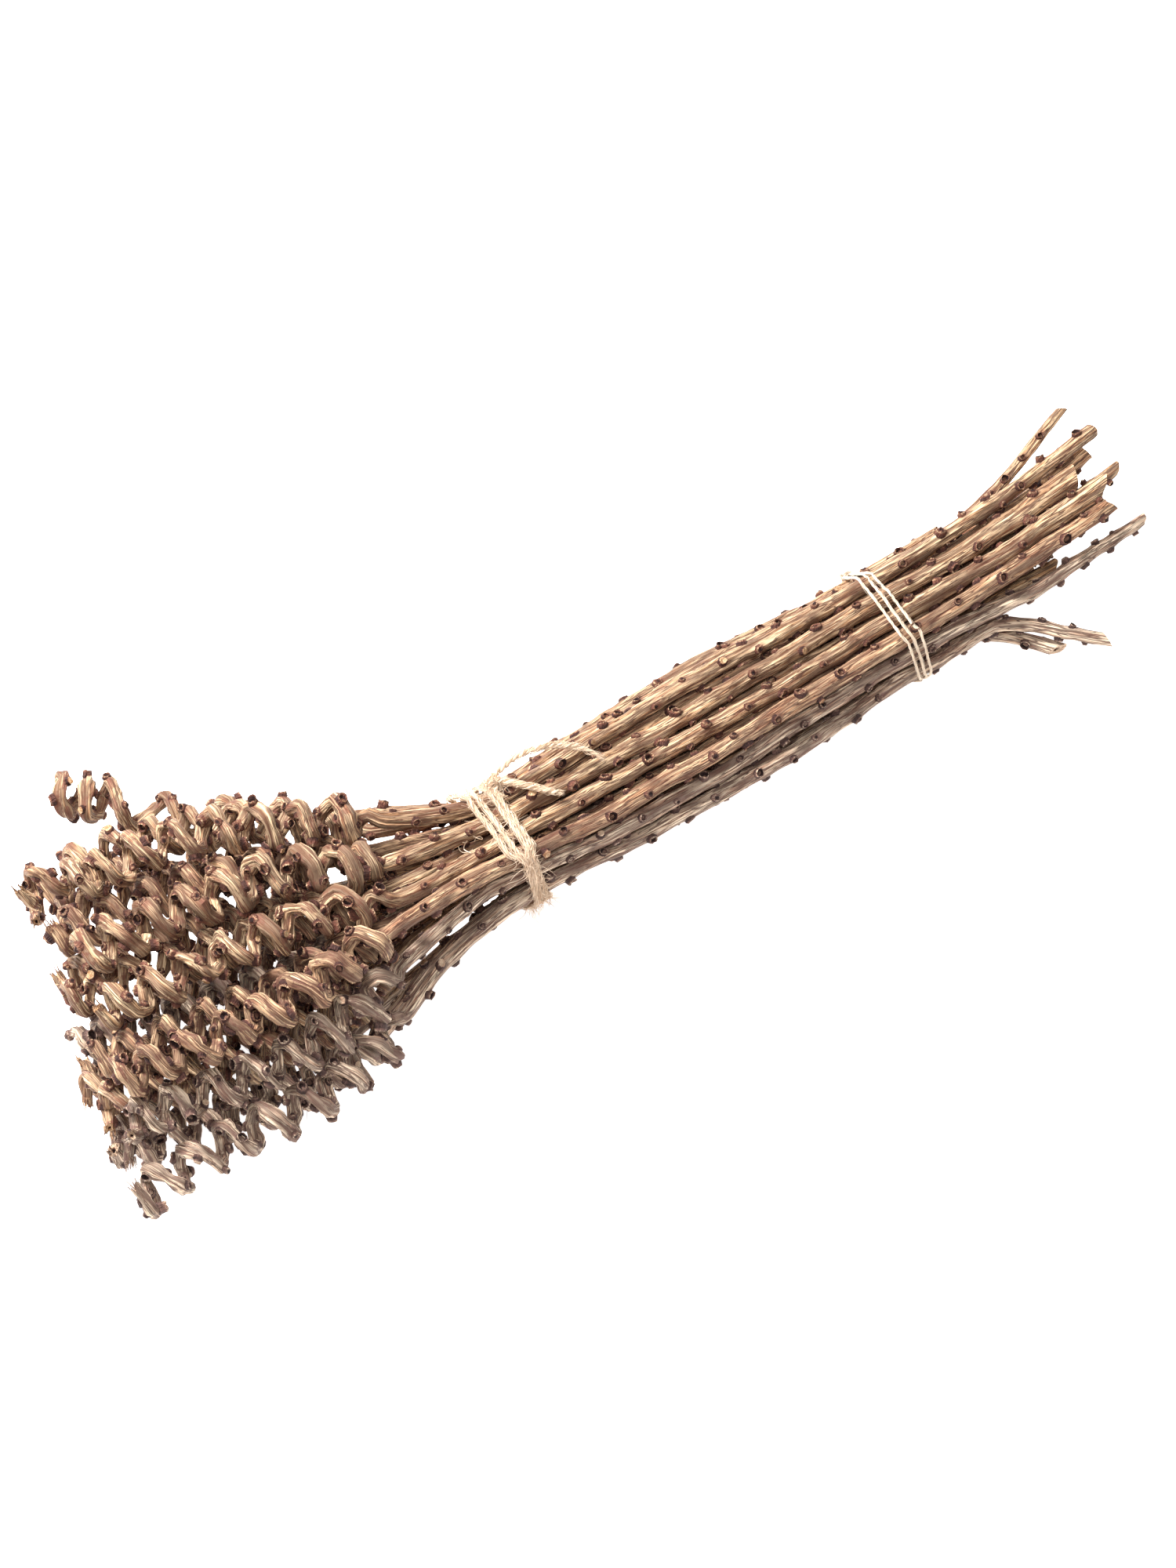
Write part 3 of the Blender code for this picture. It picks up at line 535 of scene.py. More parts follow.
def makeStem(number, row, column, route, radii, budForms, shift):
    name = f"stem_{number:02d}"
    generator = np.random.default_rng(1000 + number)
    line, along, at = evenly(route, bark["ringStep"], bark["softness"])
    rings = (bark["firstCuts"] + 1) * max(2, round(along[-1] / bark["ringStep"] / (bark["firstCuts"] + 1)))
    line, along, at = evenly(route, along[-1] / rings, bark["softness"])
    line, at, along = line[:rings + 1], at[:rings + 1], along[:rings + 1]
    run = np.append(0.0, np.cumsum(np.linalg.norm(np.diff(route, axis=0), axis=1)))
    coilX = layout["stems"][row][column][1]
    coil = ease((coilX + 6.0 - line[:, 0]) / 12.0)
    radius = np.interp(at, run, radii) + np.interp(coil, (0.0, 1.0), bark["fullness"])
    sway = bark["wander"][0] + (bark["wander"][1] - bark["wander"][0]) * coil
    ahead, aside, outward = carriedFrames(line)
    none = np.zeros_like(along)
    line = line + (sway * waves(none, along, 2, 19.0, generator))[:, None] * aside
    line = line + (sway * waves(none, along, 2, 23.0, generator))[:, None] * outward

    spots = budPlaces(row, column, along[-1], generator)
    turn = np.broadcast_to(np.arange(bark["sides"]) / bark["sides"], (rings + 1, bark["sides"]))
    grid = np.broadcast_to(along[:, None], turn.shape)
    height, furrow, halo = skinRelief(turn, grid, np.broadcast_to(radius[:, None], turn.shape),
                                      np.broadcast_to(coil[:, None], turn.shape), spots, generator)

    rod = roughRod(name, rings)
    local = np.empty(3 * len(rod.data.vertices), np.float32)
    rod.data.vertices.foreach_get("co", local)
    local = local.reshape(-1, 3).astype(float)
    ring = np.clip(np.rint((local[:, 2] + 0.5) * rings).astype(int), 0, rings)
    angle = np.arctan2(local[:, 1], local[:, 0])
    side = np.rint(angle / (2 * math.pi) * bark["sides"]).astype(int) % bark["sides"]
    reach = np.hypot(local[:, 0], local[:, 1])
    skin = radius[ring] + height[ring, side]
    place = along[ring]

    # the cut end is oblique, with a hollow pith; the spring's end is torn
    tilt = bark["cutTilt"][0] + bark["cutTilt"][1] * generator.uniform() ** 2
    facing = 2 * math.pi * generator.uniform()
    nearCut = ease(1.0 - place / bark["cutReach"])
    nearEnd = ease(1.0 - (along[-1] - place) / bark["tornReach"])
    jag, tear = (waves(angle / (2 * math.pi), np.zeros_like(angle), cells, 10.0, generator)
                 for cells in (bark["cutJags"][0], bark["tornJags"][0]))
    onCut, onEnd = place < 0.5, place > along[-1] - 0.5
    slide = nearCut * (tilt * reach * radius[ring] * np.cos(angle - facing))
    slide += np.where(onCut, bark["cutJags"][1] * jag * (reach > 0.95), 0.0)
    slide += nearEnd * bark["tornJags"][1] * tear * reach
    inside = np.clip((bark["pithReach"] - reach) / bark["pithReach"], 0.0, 1.0)
    slide += np.where(onCut, bark["pithDepth"] * ease(2 * inside) + 0.35 * (reach < 0.95), 0.0)
    slide -= np.where(onEnd, bark["tornHollow"] * ease(2 * inside) + 0.5 * (reach < 0.95), 0.0)
    skin = skin * (1.0 - bark["tornNarrowing"] * nearEnd)
    spot = (np.cos(angle)[:, None] * aside[ring] + np.sin(angle)[:, None] * outward[ring])
    points = line[ring] + (reach * skin)[:, None] * spot + slide[:, None] * ahead[ring]
    rod.data.vertices.foreach_set("co", ((points + shift) * mm).astype(np.float32).ravel())
    capped = (reach < 0.95).astype(float)
    where = np.stack((reach * radius[ring] * np.cos(angle), reach * radius[ring] * np.sin(angle),
                      place + 400.0 * number), axis=1)
    endShade = ease((place - along[-1] + 45.0) / 45.0)
    setValues(rod.data, {
        "stemPlace": where,
        # how deep in a groove each point is; the material paints the grooves darker: partly the bark's dark
        # fissures, partly painted shade
        "furrow": np.where(capped > 0, 0.0, furrow[ring, side]),
        "scar": np.maximum(0.4 * halo[ring, side] ** 2, capped * ease(2 * inside)),
        "cutFace": capped * (1.0 - ease(2 * inside)),
        "coil": np.clip(coil[ring] * 0.6 + 0.7 * endShade, 0.0, 1.0),
    })
    budPiece = makeBuds(name, spots, line, along, ahead, aside, outward, radius, coil, height, budForms,
                        number, shift, generator)
    wisps = makeWisps(name, line, ahead, aside, outward, radius, coil, number, shift, generator)
    deselectAll()
    budPiece.select_set(True)
    wisps.select_set(True)
    rod.select_set(True)
    bpy.context.view_layer.objects.active = rod
    bpy.ops.object.join()
    bpy.ops.object.shade_smooth_by_angle(angle=math.radians(52))
    return rod


# Torn ends and the fine fibres that hang in the springs
fraying = {
    "slivers": 16, "sliverLength": (1.0, 4.5), "sliverWidth": 1.1,
    "wisps": 46, "wispLength": (3.0, 8.0), "wispWidth": 0.2,
}


def makeWisps(name, line, ahead, aside, outward, radius, coil, number, shift, generator):
    count, stops = fraying["slivers"], 5
    share = np.linspace(0, 1, stops)[None, :, None]
    angle = 2 * math.pi * generator.uniform(0, 1, count)
    spoke = np.cos(angle)[:, None] * aside[-1] + np.sin(angle)[:, None] * outward[-1]
    reach = radius[-1] * generator.uniform(0.45, 0.85, count)
    length = generator.uniform(*fraying["sliverLength"], count)[:, None, None]
    start = line[-1] - 3.0 * ahead[-1] + reach[:, None] * spoke
    spread = generator.normal(0, 0.22, (count, 1, 3)) + 0.2 * spoke[:, None]
    lines = start[:, None] + (3.0 + length) * share * ahead[-1] + length * share ** 2 * spread
    widths = fraying["sliverWidth"] * generator.uniform(0.5, 1.2, (count, 1)) * (1 - 0.7 * share[:, :, 0])
    sliverPoints, faces = tubes(lines, widths, 4)

    wound = np.flatnonzero(coil > 0.5)
    roots = wound[generator.integers(0, len(wound), fraying["wisps"])]
    count, stops = len(roots), 6
    share = np.linspace(0, 1, stops)[None, :, None]
    angle = 2 * math.pi * generator.uniform(0, 1, count)
    spoke = np.cos(angle)[:, None] * aside[roots] + np.sin(angle)[:, None] * outward[roots]
    start = line[roots] + 0.9 * radius[roots][:, None] * spoke
    length = generator.uniform(*fraying["wispLength"], count)[:, None, None]
    direction = spoke + generator.normal(0, 0.7, (count, 3))
    direction /= np.linalg.norm(direction, axis=1, keepdims=True)
    curl = generator.normal(0, 0.45, (count, 1, 3))
    lines = start[:, None] + length * (share * direction[:, None] + share ** 2 * curl)
    lines[:, :, 2] = np.maximum(lines[:, :, 2], 0.5)
    widths = fraying["wispWidth"] * (1 - 0.6 * share[:, :, 0]) * np.ones((count, 1))
    wispPoints, wispFaces = tubes(lines, widths, 3)
    faces += [[len(sliverPoints) + corner for corner in face] for face in wispFaces]
    points = np.concatenate((sliverPoints, wispPoints))
    total, slivers = len(points), len(sliverPoints)
    dark = np.concatenate((generator.uniform(0.0, 0.5, slivers), np.full(total - slivers, 0.45)))
    place = np.stack((points[:, 0], points[:, 1], 0.4 * points[:, 2] + 400.0 * number), axis=1)
    return meshPiece(f"{name}_wisps", points + shift, faces, {
        "stemPlace": place, "furrow": np.zeros(total), "scar": dark,
        "cutFace": np.where(np.arange(total) < slivers, 0.6, 0.0), "coil": np.full(total, 0.5)})


def makeBuds(name, spots, line, along, ahead, aside, outward, radius, coil, height, forms, number, shift,
             generator):
    points, faces, values = [], [], {"stemPlace": [], "furrow": [], "scar": [], "cutFace": [], "coil": []}
    total = 0
    for index, (place, angle) in enumerate(spots):
        ring = int(np.clip(np.searchsorted(along, place), 1, len(along) - 1))
        x = line[ring, 0]
        lowerGap, upperGap = buds["tieClearance"]
        if abs(x - layout["lowerTieX"]) < lowerGap or abs(x - layout["upperTieX"]) < upperGap:
            continue
        kind = generator.choice(len(buds["kinds"]), p=buds["shares"])
        shape, shapeFaces, dark, cut = forms[kind]
        size = 1.0 + buds["sizeVaries"] * generator.uniform(-1, 1)
        size *= 1.0 + buds["coilSize"] * coil[ring]
        size *= min(1.0, 0.35 + 0.65 * radius[ring] / 4.6)
        normal = math.cos(angle) * aside[ring] + math.sin(angle) * outward[ring]
        lean = buds["lean"] * generator.uniform(0.2, 1.0)
        normal = normal - lean * ahead[ring]
        normal /= np.linalg.norm(normal)
        forward = np.cross(np.cross(normal, ahead[ring]), normal)
        forward /= np.linalg.norm(forward)
        across = np.cross(normal, forward)
        roll = buds["roll"] * generator.uniform(-1, 1)
        forward, across = (math.cos(roll) * forward + math.sin(roll) * across,
                           math.cos(roll) * across - math.sin(roll) * forward)
        rough = shape * (1.0 + buds["uneven"] * generator.uniform(-1, 1, shape.shape))
        rim = (shape[:, 2] > 0.6) * buds["rimVaries"]
        rough[:, 2] = shape[:, 2] + rim * generator.uniform(-1, 1, len(shape))
        side = int(round(angle / (2 * math.pi) * bark["sides"])) % bark["sides"]
        base = line[ring] + (radius[ring] + height[ring, side] - buds["sunk"]) * (
            math.cos(angle) * aside[ring] + math.sin(angle) * outward[ring])
        tall = buds["height"] * size * generator.uniform(0.75, 1.25)
        points.append(base + rough[:, :1] * buds["halfLength"] * size * forward
                      + rough[:, 1:2] * buds["halfWidth"] * size * across + rough[:, 2:] * tall * normal)
        faces += [[total + corner for corner in face] for face in shapeFaces]
        values["stemPlace"].append(np.stack((rough[:, 0] * 2.4 + 9.0 * index, rough[:, 1] * 2.4,
                                             rough[:, 2] * 9.0 + place + 400.0 * number), axis=1))
        values["furrow"].append(np.zeros(len(shape)))
        # each bud's ring-by-ring darkness: its own colour, with painted shade in the hollow and a painted
        # highlight on the rim top
        values["scar"].append(dark)
        values["cutFace"].append(cut)
        values["coil"].append(np.full(len(shape), coil[ring] * 0.6))
        total += len(shape)
    values = {key: np.concatenate(value) for key, value in values.items()}
    return meshPiece(f"{name}_buds", np.concatenate(points) + shift, faces, values)


# Twine: passes of three plies round the bundle, with surface fibres and fuzz
jute = {
    "lower": {
        "x": 0.0, "thickness": 3.5, "knotX": 8.4, "knotAngle": 38.0, "knotSize": (5.2, 4.6, 3.6),
        # each pass of twine: X at the knot, a quarter turn away and opposite the knot
        "loops": ((-10.5, -3.2, -0.8), (-3.5, -1.0, 1.6), (6.4, 1.2, 4.6), (10.2, 3.6, 7.4)),
        "twist": 15.0, "width": 0.72, "flat": 0.8, "fibres": 60, "fibreWidth": 0.36, "fuzz": 900,
        "fuzzLength": (4.0, 17.0), "fuzzWidth": 0.32,
    },
    "upper": {
        "x": 237.0, "thickness": 1.9, "knotX": 2.5, "knotAngle": 30.0, "knotSize": (4.0, 3.0, 2.2),
        "loops": ((0.5, 1.5, 4.5), (4.5, 5.7, 7.5), (5.5, 11.0, 9.0)),
        "twist": 12.0, "width": 0.86, "flat": 0.8, "fibres": 20, "fibreWidth": 0.26, "fuzz": 90,
        "fuzzLength": (3.0, 10.0), "fuzzWidth": 0.12,
    },
    "gap": 0.75,                # between a stem and the middle of the twine's inner side
    "knotTurns": 6, "knotPlaces": 60, "knotWidth": 0.7, "knotSunk": 0.4,
    "directions": 240, "step": 1.9, "plies": 3, "plySides": 7, "plyWidth": 0.40, "plyOffset": 0.29,
}

# fibres that curl over the stems beside the lower tie: how far right and up of its middle in the
# picture, their height, and how many turns each makes
curls = {
    "places": ((-20.0, 3.0, 2.0), (-16.0, -2.0, 1.4), (-13.0, 5.5, 1.1)),
    "height": 77.0, "radius": 3.4, "length": 17.0, "width": 0.75,
}

tails = {
    "long_tail": ((14.2, 26.0, 78.0), (19.0, 26.8, 80.0), (26.0, 26.6, 82.0), (34.0, 25.2, 83.2),
                  (43.0, 22.6, 83.0), (51.5, 19.0, 81.0), (59.0, 13.4, 78.0), (64.5, 4.8, 74.9)),
    "short_tail": ((13.9, 20.5, 77.5), (18.0, 16.4, 77.3), (23.3, 10.9, 77.3), (27.0, 7.0, 77.6),
                   (31.5, 2.6, 76.9), (36.0, -1.2, 76.5)),
    "thickness": 3.5, "step": 1.2, "twist": 8.0, "fibres": 22,
    # where the frayed tip's fibres start, as a share of the length, their number and width
    "frayFrom": (0.62, 0.9), "fray": 44, "frayWidth": 0.32,
    # how far back each root leads on from its tail, and its width
    "rootLead": 5.0, "rootWidth": 0.8,
}


def sectionAt(routes, radii, x):
    centres, sizes = [], []
    for route, radius in zip(routes, radii):
        end = int(np.argmax(route[:, 0] < x))
        share = (x - route[end, 0]) / (route[end - 1, 0] - route[end, 0])
        centres.append((1 - share) * route[end, 1:] + share * route[end - 1, 1:])
        sizes.append((1 - share) * radius[end] + share * radius[end - 1])
    return np.array(centres), np.array(sizes)


def besideBundle(routes, radii, x, angle, clearance):
    centres, sizes = sectionAt(routes, radii, x)
    outward = np.array((math.cos(angle), math.sin(angle)))
    farthest = np.argmax(centres @ outward + sizes)
    y, z = centres[farthest] + (sizes[farthest] + clearance) * outward
    return np.array((x, y, z))


def passOffset(turn, atKnot, sideways, opposite):
    ends = (atKnot + opposite) / 2
    once, twice = (atKnot - opposite) / 2, (ends - sideways) / 2
    return (ends + sideways) / 2 + once * math.cos(turn) + twice * math.cos(2 * turn)


def tautLoop(tie, offsets, routes, radii):
    # a pass of twine lies taut over the outermost stems
    loop = []
    for step in range(jute["directions"]):
        turn = 2 * math.pi * step / jute["directions"]
        loop.append(besideBundle(routes, radii, tie["x"] + passOffset(turn, *offsets),
                                 math.radians(tie["knotAngle"]) + turn,
                                 tie["flat"] * tie["thickness"] / 2 + jute["gap"]))
    loop = np.array(loop + loop[:1])
    run = np.append(0.0, np.cumsum(np.linalg.norm(np.diff(loop, axis=0), axis=1)))
    places = np.linspace(0.0, run[-1], 1 + round(run[-1] / jute["step"]))[:-1]
    return np.stack([np.interp(places, run, loop[:, axis]) for axis in range(3)], axis=1), run[-1]


def loopFrames(loop, centre):
    ahead = np.roll(loop, -1, axis=0) - np.roll(loop, 1, axis=0)
    ahead /= np.linalg.norm(ahead, axis=1, keepdims=True)
    outward = loop - centre
    outward -= (outward * ahead).sum(axis=1, keepdims=True) * ahead
    outward /= np.linalg.norm(outward, axis=1, keepdims=True)
    return ahead, outward, np.cross(ahead, outward)


def gather(parts):              # several sets of points and faces as one
    points, faces, along, total = [], [], [], 0
    for partPoints, partFaces, partAlong in parts:
        points.append(partPoints)
        faces += [[total + corner for corner in face] for face in partFaces]
        along.append(partAlong)
        total += len(partPoints)
    return np.concatenate(points), faces, np.concatenate(along)


def plyPlaces(places, ply):      # where each point of a ply is, round it and along it
    sides = jute["plySides"]
    turn = np.tile(2 * math.pi * np.arange(sides) / sides, len(places))
    return np.stack((3 * np.cos(turn) + 20 * ply, 3 * np.sin(turn), np.repeat(places, sides)), axis=1)


def plies(line, outward, aside, places, turns, thickness, flat, closed):
    # plies wound round each other, with where each point is along and round its ply
    parts = []
    for ply in range(jute["plies"]):
        phase = 2 * math.pi * (turns + ply / jute["plies"])
        offset = jute["plyOffset"] * thickness
        middle = line + offset * (flat * np.cos(phase)[:, None] * outward + np.sin(phase)[:, None] * aside)
        widths = np.full(len(line), jute["plyWidth"] * thickness)
        points, faces = tubes([middle], [widths], jute["plySides"], closed)
        parts.append((points, faces, plyPlaces(places, ply)))
    return parts


def surfaceFibres(line, outward, aside, places, turns, tie, generator, closed):
    # loose fibres that follow the twist and stand a little off the plies
    parts, thickness, count = [], tie["thickness"], len(line)
    for fibre in range(tie["fibres"]):
        span = int(generator.uniform(8, 30)) if closed else int(generator.uniform(0.35, 0.95) * count)
        span = max(4, min(span, count - 1))
        start = int(generator.uniform(0, count if closed else count - span))
        index = (start + np.arange(span)) % count
        share = np.linspace(0, 1, span)
        lay = 0.5 * thickness * generator.uniform(0.75, 1.15)
        lay = lay + generator.uniform(0.0, 0.8) * (ease(1 - share / 0.25) + ease((share - 0.75) / 0.25))
        climb = (turns[1] - turns[0]) * np.arange(span) * generator.uniform(0.1, 1.0)
        phase = 2 * math.pi * (turns[start] + climb)
        phase += 2 * math.pi * generator.uniform()
        middle = line[index] + lay[:, None] * (tie["flat"] * np.cos(phase)[:, None] * outward[index]
                                               + np.sin(phase)[:, None] * aside[index])
        widths = tie["fibreWidth"] * generator.uniform(0.6, 1.2) * (0.35 + 0.65 * np.sin(math.pi * share))
        points, faces = tubes([middle], [widths], 3)
        tag = np.stack((np.full(len(points), 60.0 + 7 * fibre), np.zeros(len(points)),
                        np.repeat(places[index], 3)), axis=1)
        parts.append((points, faces, tag))
    return parts


def fuzzHairs(roots, ahead, outward, aside, count, lengths, width, generator, stops=7):
    # fine curved hairs that stand off the twine
    pick = generator.integers(0, len(roots), count)
    start = roots[pick]
    mix = generator.normal(0, 1, (count, 3))
    direction = (0.55 + 0.5 * np.abs(mix[:, :1])) * outward[pick] + 0.9 * mix[:, 1:2] * ahead[pick]
    direction += 0.9 * mix[:, 2:] * aside[pick]
    direction /= np.linalg.norm(direction, axis=1, keepdims=True)
    bend = np.cross(direction, generator.normal(0, 1, (count, 3)))
    bend /= np.maximum(np.linalg.norm(bend, axis=1, keepdims=True), 1e-6)
    length = generator.uniform(*lengths, count) * generator.uniform(0.4, 1.0, count)
    share = np.linspace(0, 1, stops)[None, :, None]
    curl = generator.uniform(0.2, 0.8, count)[:, None, None]
    long = length[:, None, None]
    lines = start[:, None] + long * share * direction[:, None]
    lines = lines + long * curl * share ** 2 * bend[:, None]
    lines = lines - 0.25 * long * share ** 2 * outward[pick][:, None]
    ground = 0.6 * generator.uniform(0.5, 1.5, (count, 1))
    lines[:, :, 2] = np.maximum(lines[:, :, 2], ground)
    widths = width * (1.0 - 0.65 * share[:, :, 0]) * generator.uniform(0.7, 1.2, (count, 1))
    points, faces = tubes(lines, widths, 3)
    tag = np.stack((np.repeat(np.arange(count) * 5.0 + 300, stops * 3), np.zeros(len(points)),
                    np.tile(np.repeat(np.linspace(0, 9, stops), 3), count)), axis=1)
    return points, faces, tag


def knotLine(centre, size, angle, count=110):
    # an overhand knot drawn as a trefoil, squeezed to the knot's size
    t = np.linspace(0, 2 * math.pi, count, endpoint=False)
    x = (np.sin(t) + 2 * np.sin(2 * t)) / 3
    y = (np.cos(t) - 2 * np.cos(2 * t)) / 3
    z = -np.sin(3 * t)
    around = np.array((0.0, -math.sin(angle), math.cos(angle)))
    out = np.array((0.0, math.cos(angle), math.sin(angle)))
    line = centre + (x * size[0])[:, None] * (1.0, 0.0, 0.0) + (y * size[1])[:, None] * around
    return line + (z * size[2])[:, None] * out


def tailRoots(centre, tie, generator):
    # the twine between the knot and the place where each loose end starts
    parts = []
    for name in ("long_tail", "short_tail"):
        stops = tailLine(name)
        lead = tails["rootLead"] * (stops[0] - stops[1]) / np.linalg.norm(stops[0] - stops[1])
        line, places, _ = evenly((centre, 0.5 * (centre + stops[0] + lead), stops[0]), tails["step"])
        _, aside, outward = carriedFrames(line)
        turns = places / tails["twist"]
        width = tails["rootWidth"] * tie["thickness"]
        parts += plies(line, outward, aside, places, turns, width, 1.0, False)
        parts += surfaceFibres(line, outward, aside, places, turns, tie, generator, False)
    return parts


def curlyFibres(generator):
    parts = []
    right, up, back = viewDirections()
    for index, (across, above, turns) in enumerate(curls["places"]):
        start = np.array(studio["middle"]) + across * right + above * up
        start = start + (curls["height"] - start[2]) / back[2] * back
        share = np.linspace(0, 1, 40)
        angle = 2 * math.pi * turns * share + index
        size = curls["radius"] * (0.45 + 0.55 * share)
        line = start + (size * np.cos(angle))[:, None] * right + (size * np.sin(angle))[:, None] * up
        line += (curls["length"] * (share - 0.5))[:, None] * (0.25 * right - 0.6 * up)
        line[:, 2] = curls["height"] + 1.2 * np.sin(1.7 * angle) - 2.0 * np.abs(share - 0.5)
        widths = curls["width"] * (1.0 - 0.6 * share) * generator.uniform(0.8, 1.1)
        points, faces = tubes([line], [widths], 5)
        tag = np.stack((np.full(len(points), 40.0 * index), np.zeros(len(points)),
                        np.repeat(30 * share, 5)), axis=1)
        parts.append((points, faces, tag))
    return parts


def makeTie(name, key, routes, radii, shift):
    tie = jute[key]
    plied = tie["width"] * tie["thickness"]
    generator = np.random.default_rng(70 + len(name) + int(tie["x"]))
    parts, roots, directions = [], [], []
    for offsets in tie["loops"]:
        loop, length = tautLoop(tie, offsets, routes, radii)
        centre = loop.mean(axis=0)
        ahead, outward, aside = loopFrames(loop, centre)
        places = np.arange(len(loop)) * length / len(loop)
        turns = places * (round(length / tie["twist"]) / length)
        parts += plies(loop, outward, aside, places, turns, plied, tie["flat"], True)
        parts += surfaceFibres(loop, outward, aside, places, turns, tie, generator, True)
        roots.append(loop)
        directions.append((ahead, outward, aside))
    angle = math.radians(tie["knotAngle"])
    centre = besideBundle(routes, radii, tie["x"] + tie["knotX"], angle,
                          tie["knotSize"][2] - jute["knotSunk"])
    size = [half - 0.5 * tie["thickness"] * 0.8 for half in tie["knotSize"]]
    line = knotLine(centre, size, angle)
    ahead, outward, aside = loopFrames(line, centre)
    places = np.linspace(0, jute["knotPlaces"], len(line), endpoint=False)
    turns = places / jute["knotPlaces"] * jute["knotTurns"]
    parts += plies(line, outward, aside, places, turns, jute["knotWidth"] * tie["thickness"], 1.0, True)
    parts += surfaceFibres(line, outward, aside, places, turns, tie, generator, True)
    roots.append(line)
    directions.append((ahead, outward, aside))
    ahead, outward, aside = (np.concatenate([item[axis] for item in directions]) for axis in range(3))
    if key == "lower":
        parts += tailRoots(centre, tie, generator) + curlyFibres(generator)
    parts.append(fuzzHairs(np.concatenate(roots), ahead, outward, aside, tie["fuzz"], tie["fuzzLength"],
                           tie["fuzzWidth"], generator))
    points, faces, tag = gather(parts)
    item = meshPiece(name, points + shift, faces, {"strandPlace": tag})
    smoothShade(item)
    return item


def smoothShade(item):
    deselectAll()
    item.select_set(True)
    bpy.context.view_layer.objects.active = item
    bpy.ops.object.shade_smooth()


def tailLine(name):             # the same points as the solid's centre line
    marks = np.array(tails[name])
    run = np.append(0.0, np.cumsum(np.linalg.norm(np.diff(marks, axis=0), axis=1)))
    steps = np.linspace(0.0, run[-1], 1 + round(run[-1] / (2.4 * tails["thickness"])))
    return np.stack([smooth(steps, run, marks[:, axis]) for axis in range(3)], axis=1)


def shiftToFrame():
    # the solids' tail tube is drawn again without moving it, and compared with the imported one
    route = tailLine("long_tail")
    curve = bpy.data.curves.new("measure", "CURVE")
    curve.dimensions = "3D"
    curve.bevel_depth = mm
    curve.bevel_resolution = 2
    curve.use_fill_caps = True
    spline = curve.splines.new("POLY")
    spline.points.add(len(route) - 1)
    for point, place in zip(spline.points, route):
        point.co = (*(Vector(place) * mm), 1.0)
        point.radius = tails["thickness"] / 2
    item = bpy.data.objects.new("measure", curve)
    mesh = bpy.data.meshes.new_from_object(item)
    low = np.min([tuple(vertex.co) for vertex in mesh.vertices], axis=0)
    bpy.data.objects.remove(item)
    bpy.data.meshes.remove(mesh)
    return (np.array(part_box("long_tail")[0]) - low) / mm


def makeTail(name, shift):
    generator = np.random.default_rng(len(name))
    line, places, _ = evenly(tailLine(name), tails["step"])
    ahead, aside, outward = carriedFrames(line)
    turns = places / tails["twist"]
    share = places / places[-1]
    parts = []
    thickness = tails["thickness"] * (1.0 - 0.45 * share if name == "long_tail" else 1.05 - 0.15 * share)
    for ply in range(2):
        phase = 2 * math.pi * (turns + 0.5 * ply)
        spread = 0.24 + 0.25 * ease((share - 0.8) / 0.2)
        middle = line + (spread * thickness)[:, None] * (np.cos(phase)[:, None] * outward
                                                         + np.sin(phase)[:, None] * aside)
        widths = 0.56 * thickness * (1.0 - 0.75 * ease((share - 0.82) / 0.18))
        points, faces = tubes([middle], [widths], jute["plySides"])
        parts.append((points, faces, plyPlaces(places, ply)))
    tie = dict(jute["lower"], fibres=tails["fibres"], flat=1.0)
    parts += surfaceFibres(line, outward, aside, places, turns, tie, generator, False)
    # the frayed tip: fibres that fan out of the last stretch and stay close to the twine
    fray, stops = tails["fray"], 8
    begin = generator.uniform(*tails["frayFrom"], fray)
    spreadOut = generator.uniform(-1, 1, (fray, 2))
    stop = np.linspace(0, 1, stops)
    lines, widths = [], []
    for index in range(fray):
        reach = (1.0 - begin[index]) * places[-1] + generator.uniform(-1, 1.5)
        at = begin[index] * places[-1] + stop * reach
        middle = np.stack([np.interp(at, places, line[:, axis]) for axis in range(3)], axis=1)
        middle += np.maximum(at - places[-1], 0.0)[:, None] * ahead[-1]
        fan = (0.9 + 0.8 * stop ** 1.5)[:, None]
        middle += fan * 0.9 * (spreadOut[index, 0] * outward[-1] + spreadOut[index, 1] * aside[-1]) * (
            0.35 + 0.65 * stop[:, None])
        lines.append(middle)
        widths.append(tails["frayWidth"] * (1.0 - 0.7 * stop))
    points, faces = tubes(lines, widths, 3)
    tag = np.stack((np.repeat(np.arange(fray) * 5.0, stops * 3), np.zeros(len(points)),
                    np.tile(np.repeat(np.linspace(0, 9, stops), 3), fray)), axis=1)
    parts.append((points, faces, tag))
    points, faces, tag = gather(parts)
    item = meshPiece(f"{name}_twine", points + shift, faces, {"strandPlace": tag})
    smoothShade(item)
    return item


# Materials
def nodeGroup(name, inputs, outputs):
    group = bpy.data.node_groups.new(name, "ShaderNodeTree")
    for label, kind, value in inputs:
        socket = group.interface.new_socket(name=label, in_out="INPUT", socket_type=kind)
        socket.default_value = value
    for label, kind in outputs:
        group.interface.new_socket(name=label, in_out="OUTPUT", socket_type=kind)
    start = group.nodes.new("NodeGroupInput")
    end = group.nodes.new("NodeGroupOutput")
    return group, start, end


def put(tree, kind, settings=None, **inputs):
    # a node with its settings, and its inputs as values or as sockets to link
    node = tree.nodes.new(kind)
    for key, value in (settings or {}).items():
        setattr(node, key, value)
    for key, value in inputs.items():
        socket = node.inputs[int(key[1:])] if key[0] == "i" and key[1:].isdigit() else node.inputs[key]
        if isinstance(value, bpy.types.NodeSocket):
            tree.links.new(value, socket)
        else:
            socket.default_value = value
    return node


def mixColour(tree, share, first, second, mode="MIX"):
    node = put(tree, "ShaderNodeMix", {"data_type": "RGBA", "blend_type": mode})
    for index, value in ((0, share), (6, first), (7, second)):
        if isinstance(value, bpy.types.NodeSocket):
            tree.links.new(value, node.inputs[index])
        else:
            node.inputs[index].default_value = value
    return node.outputs[2]


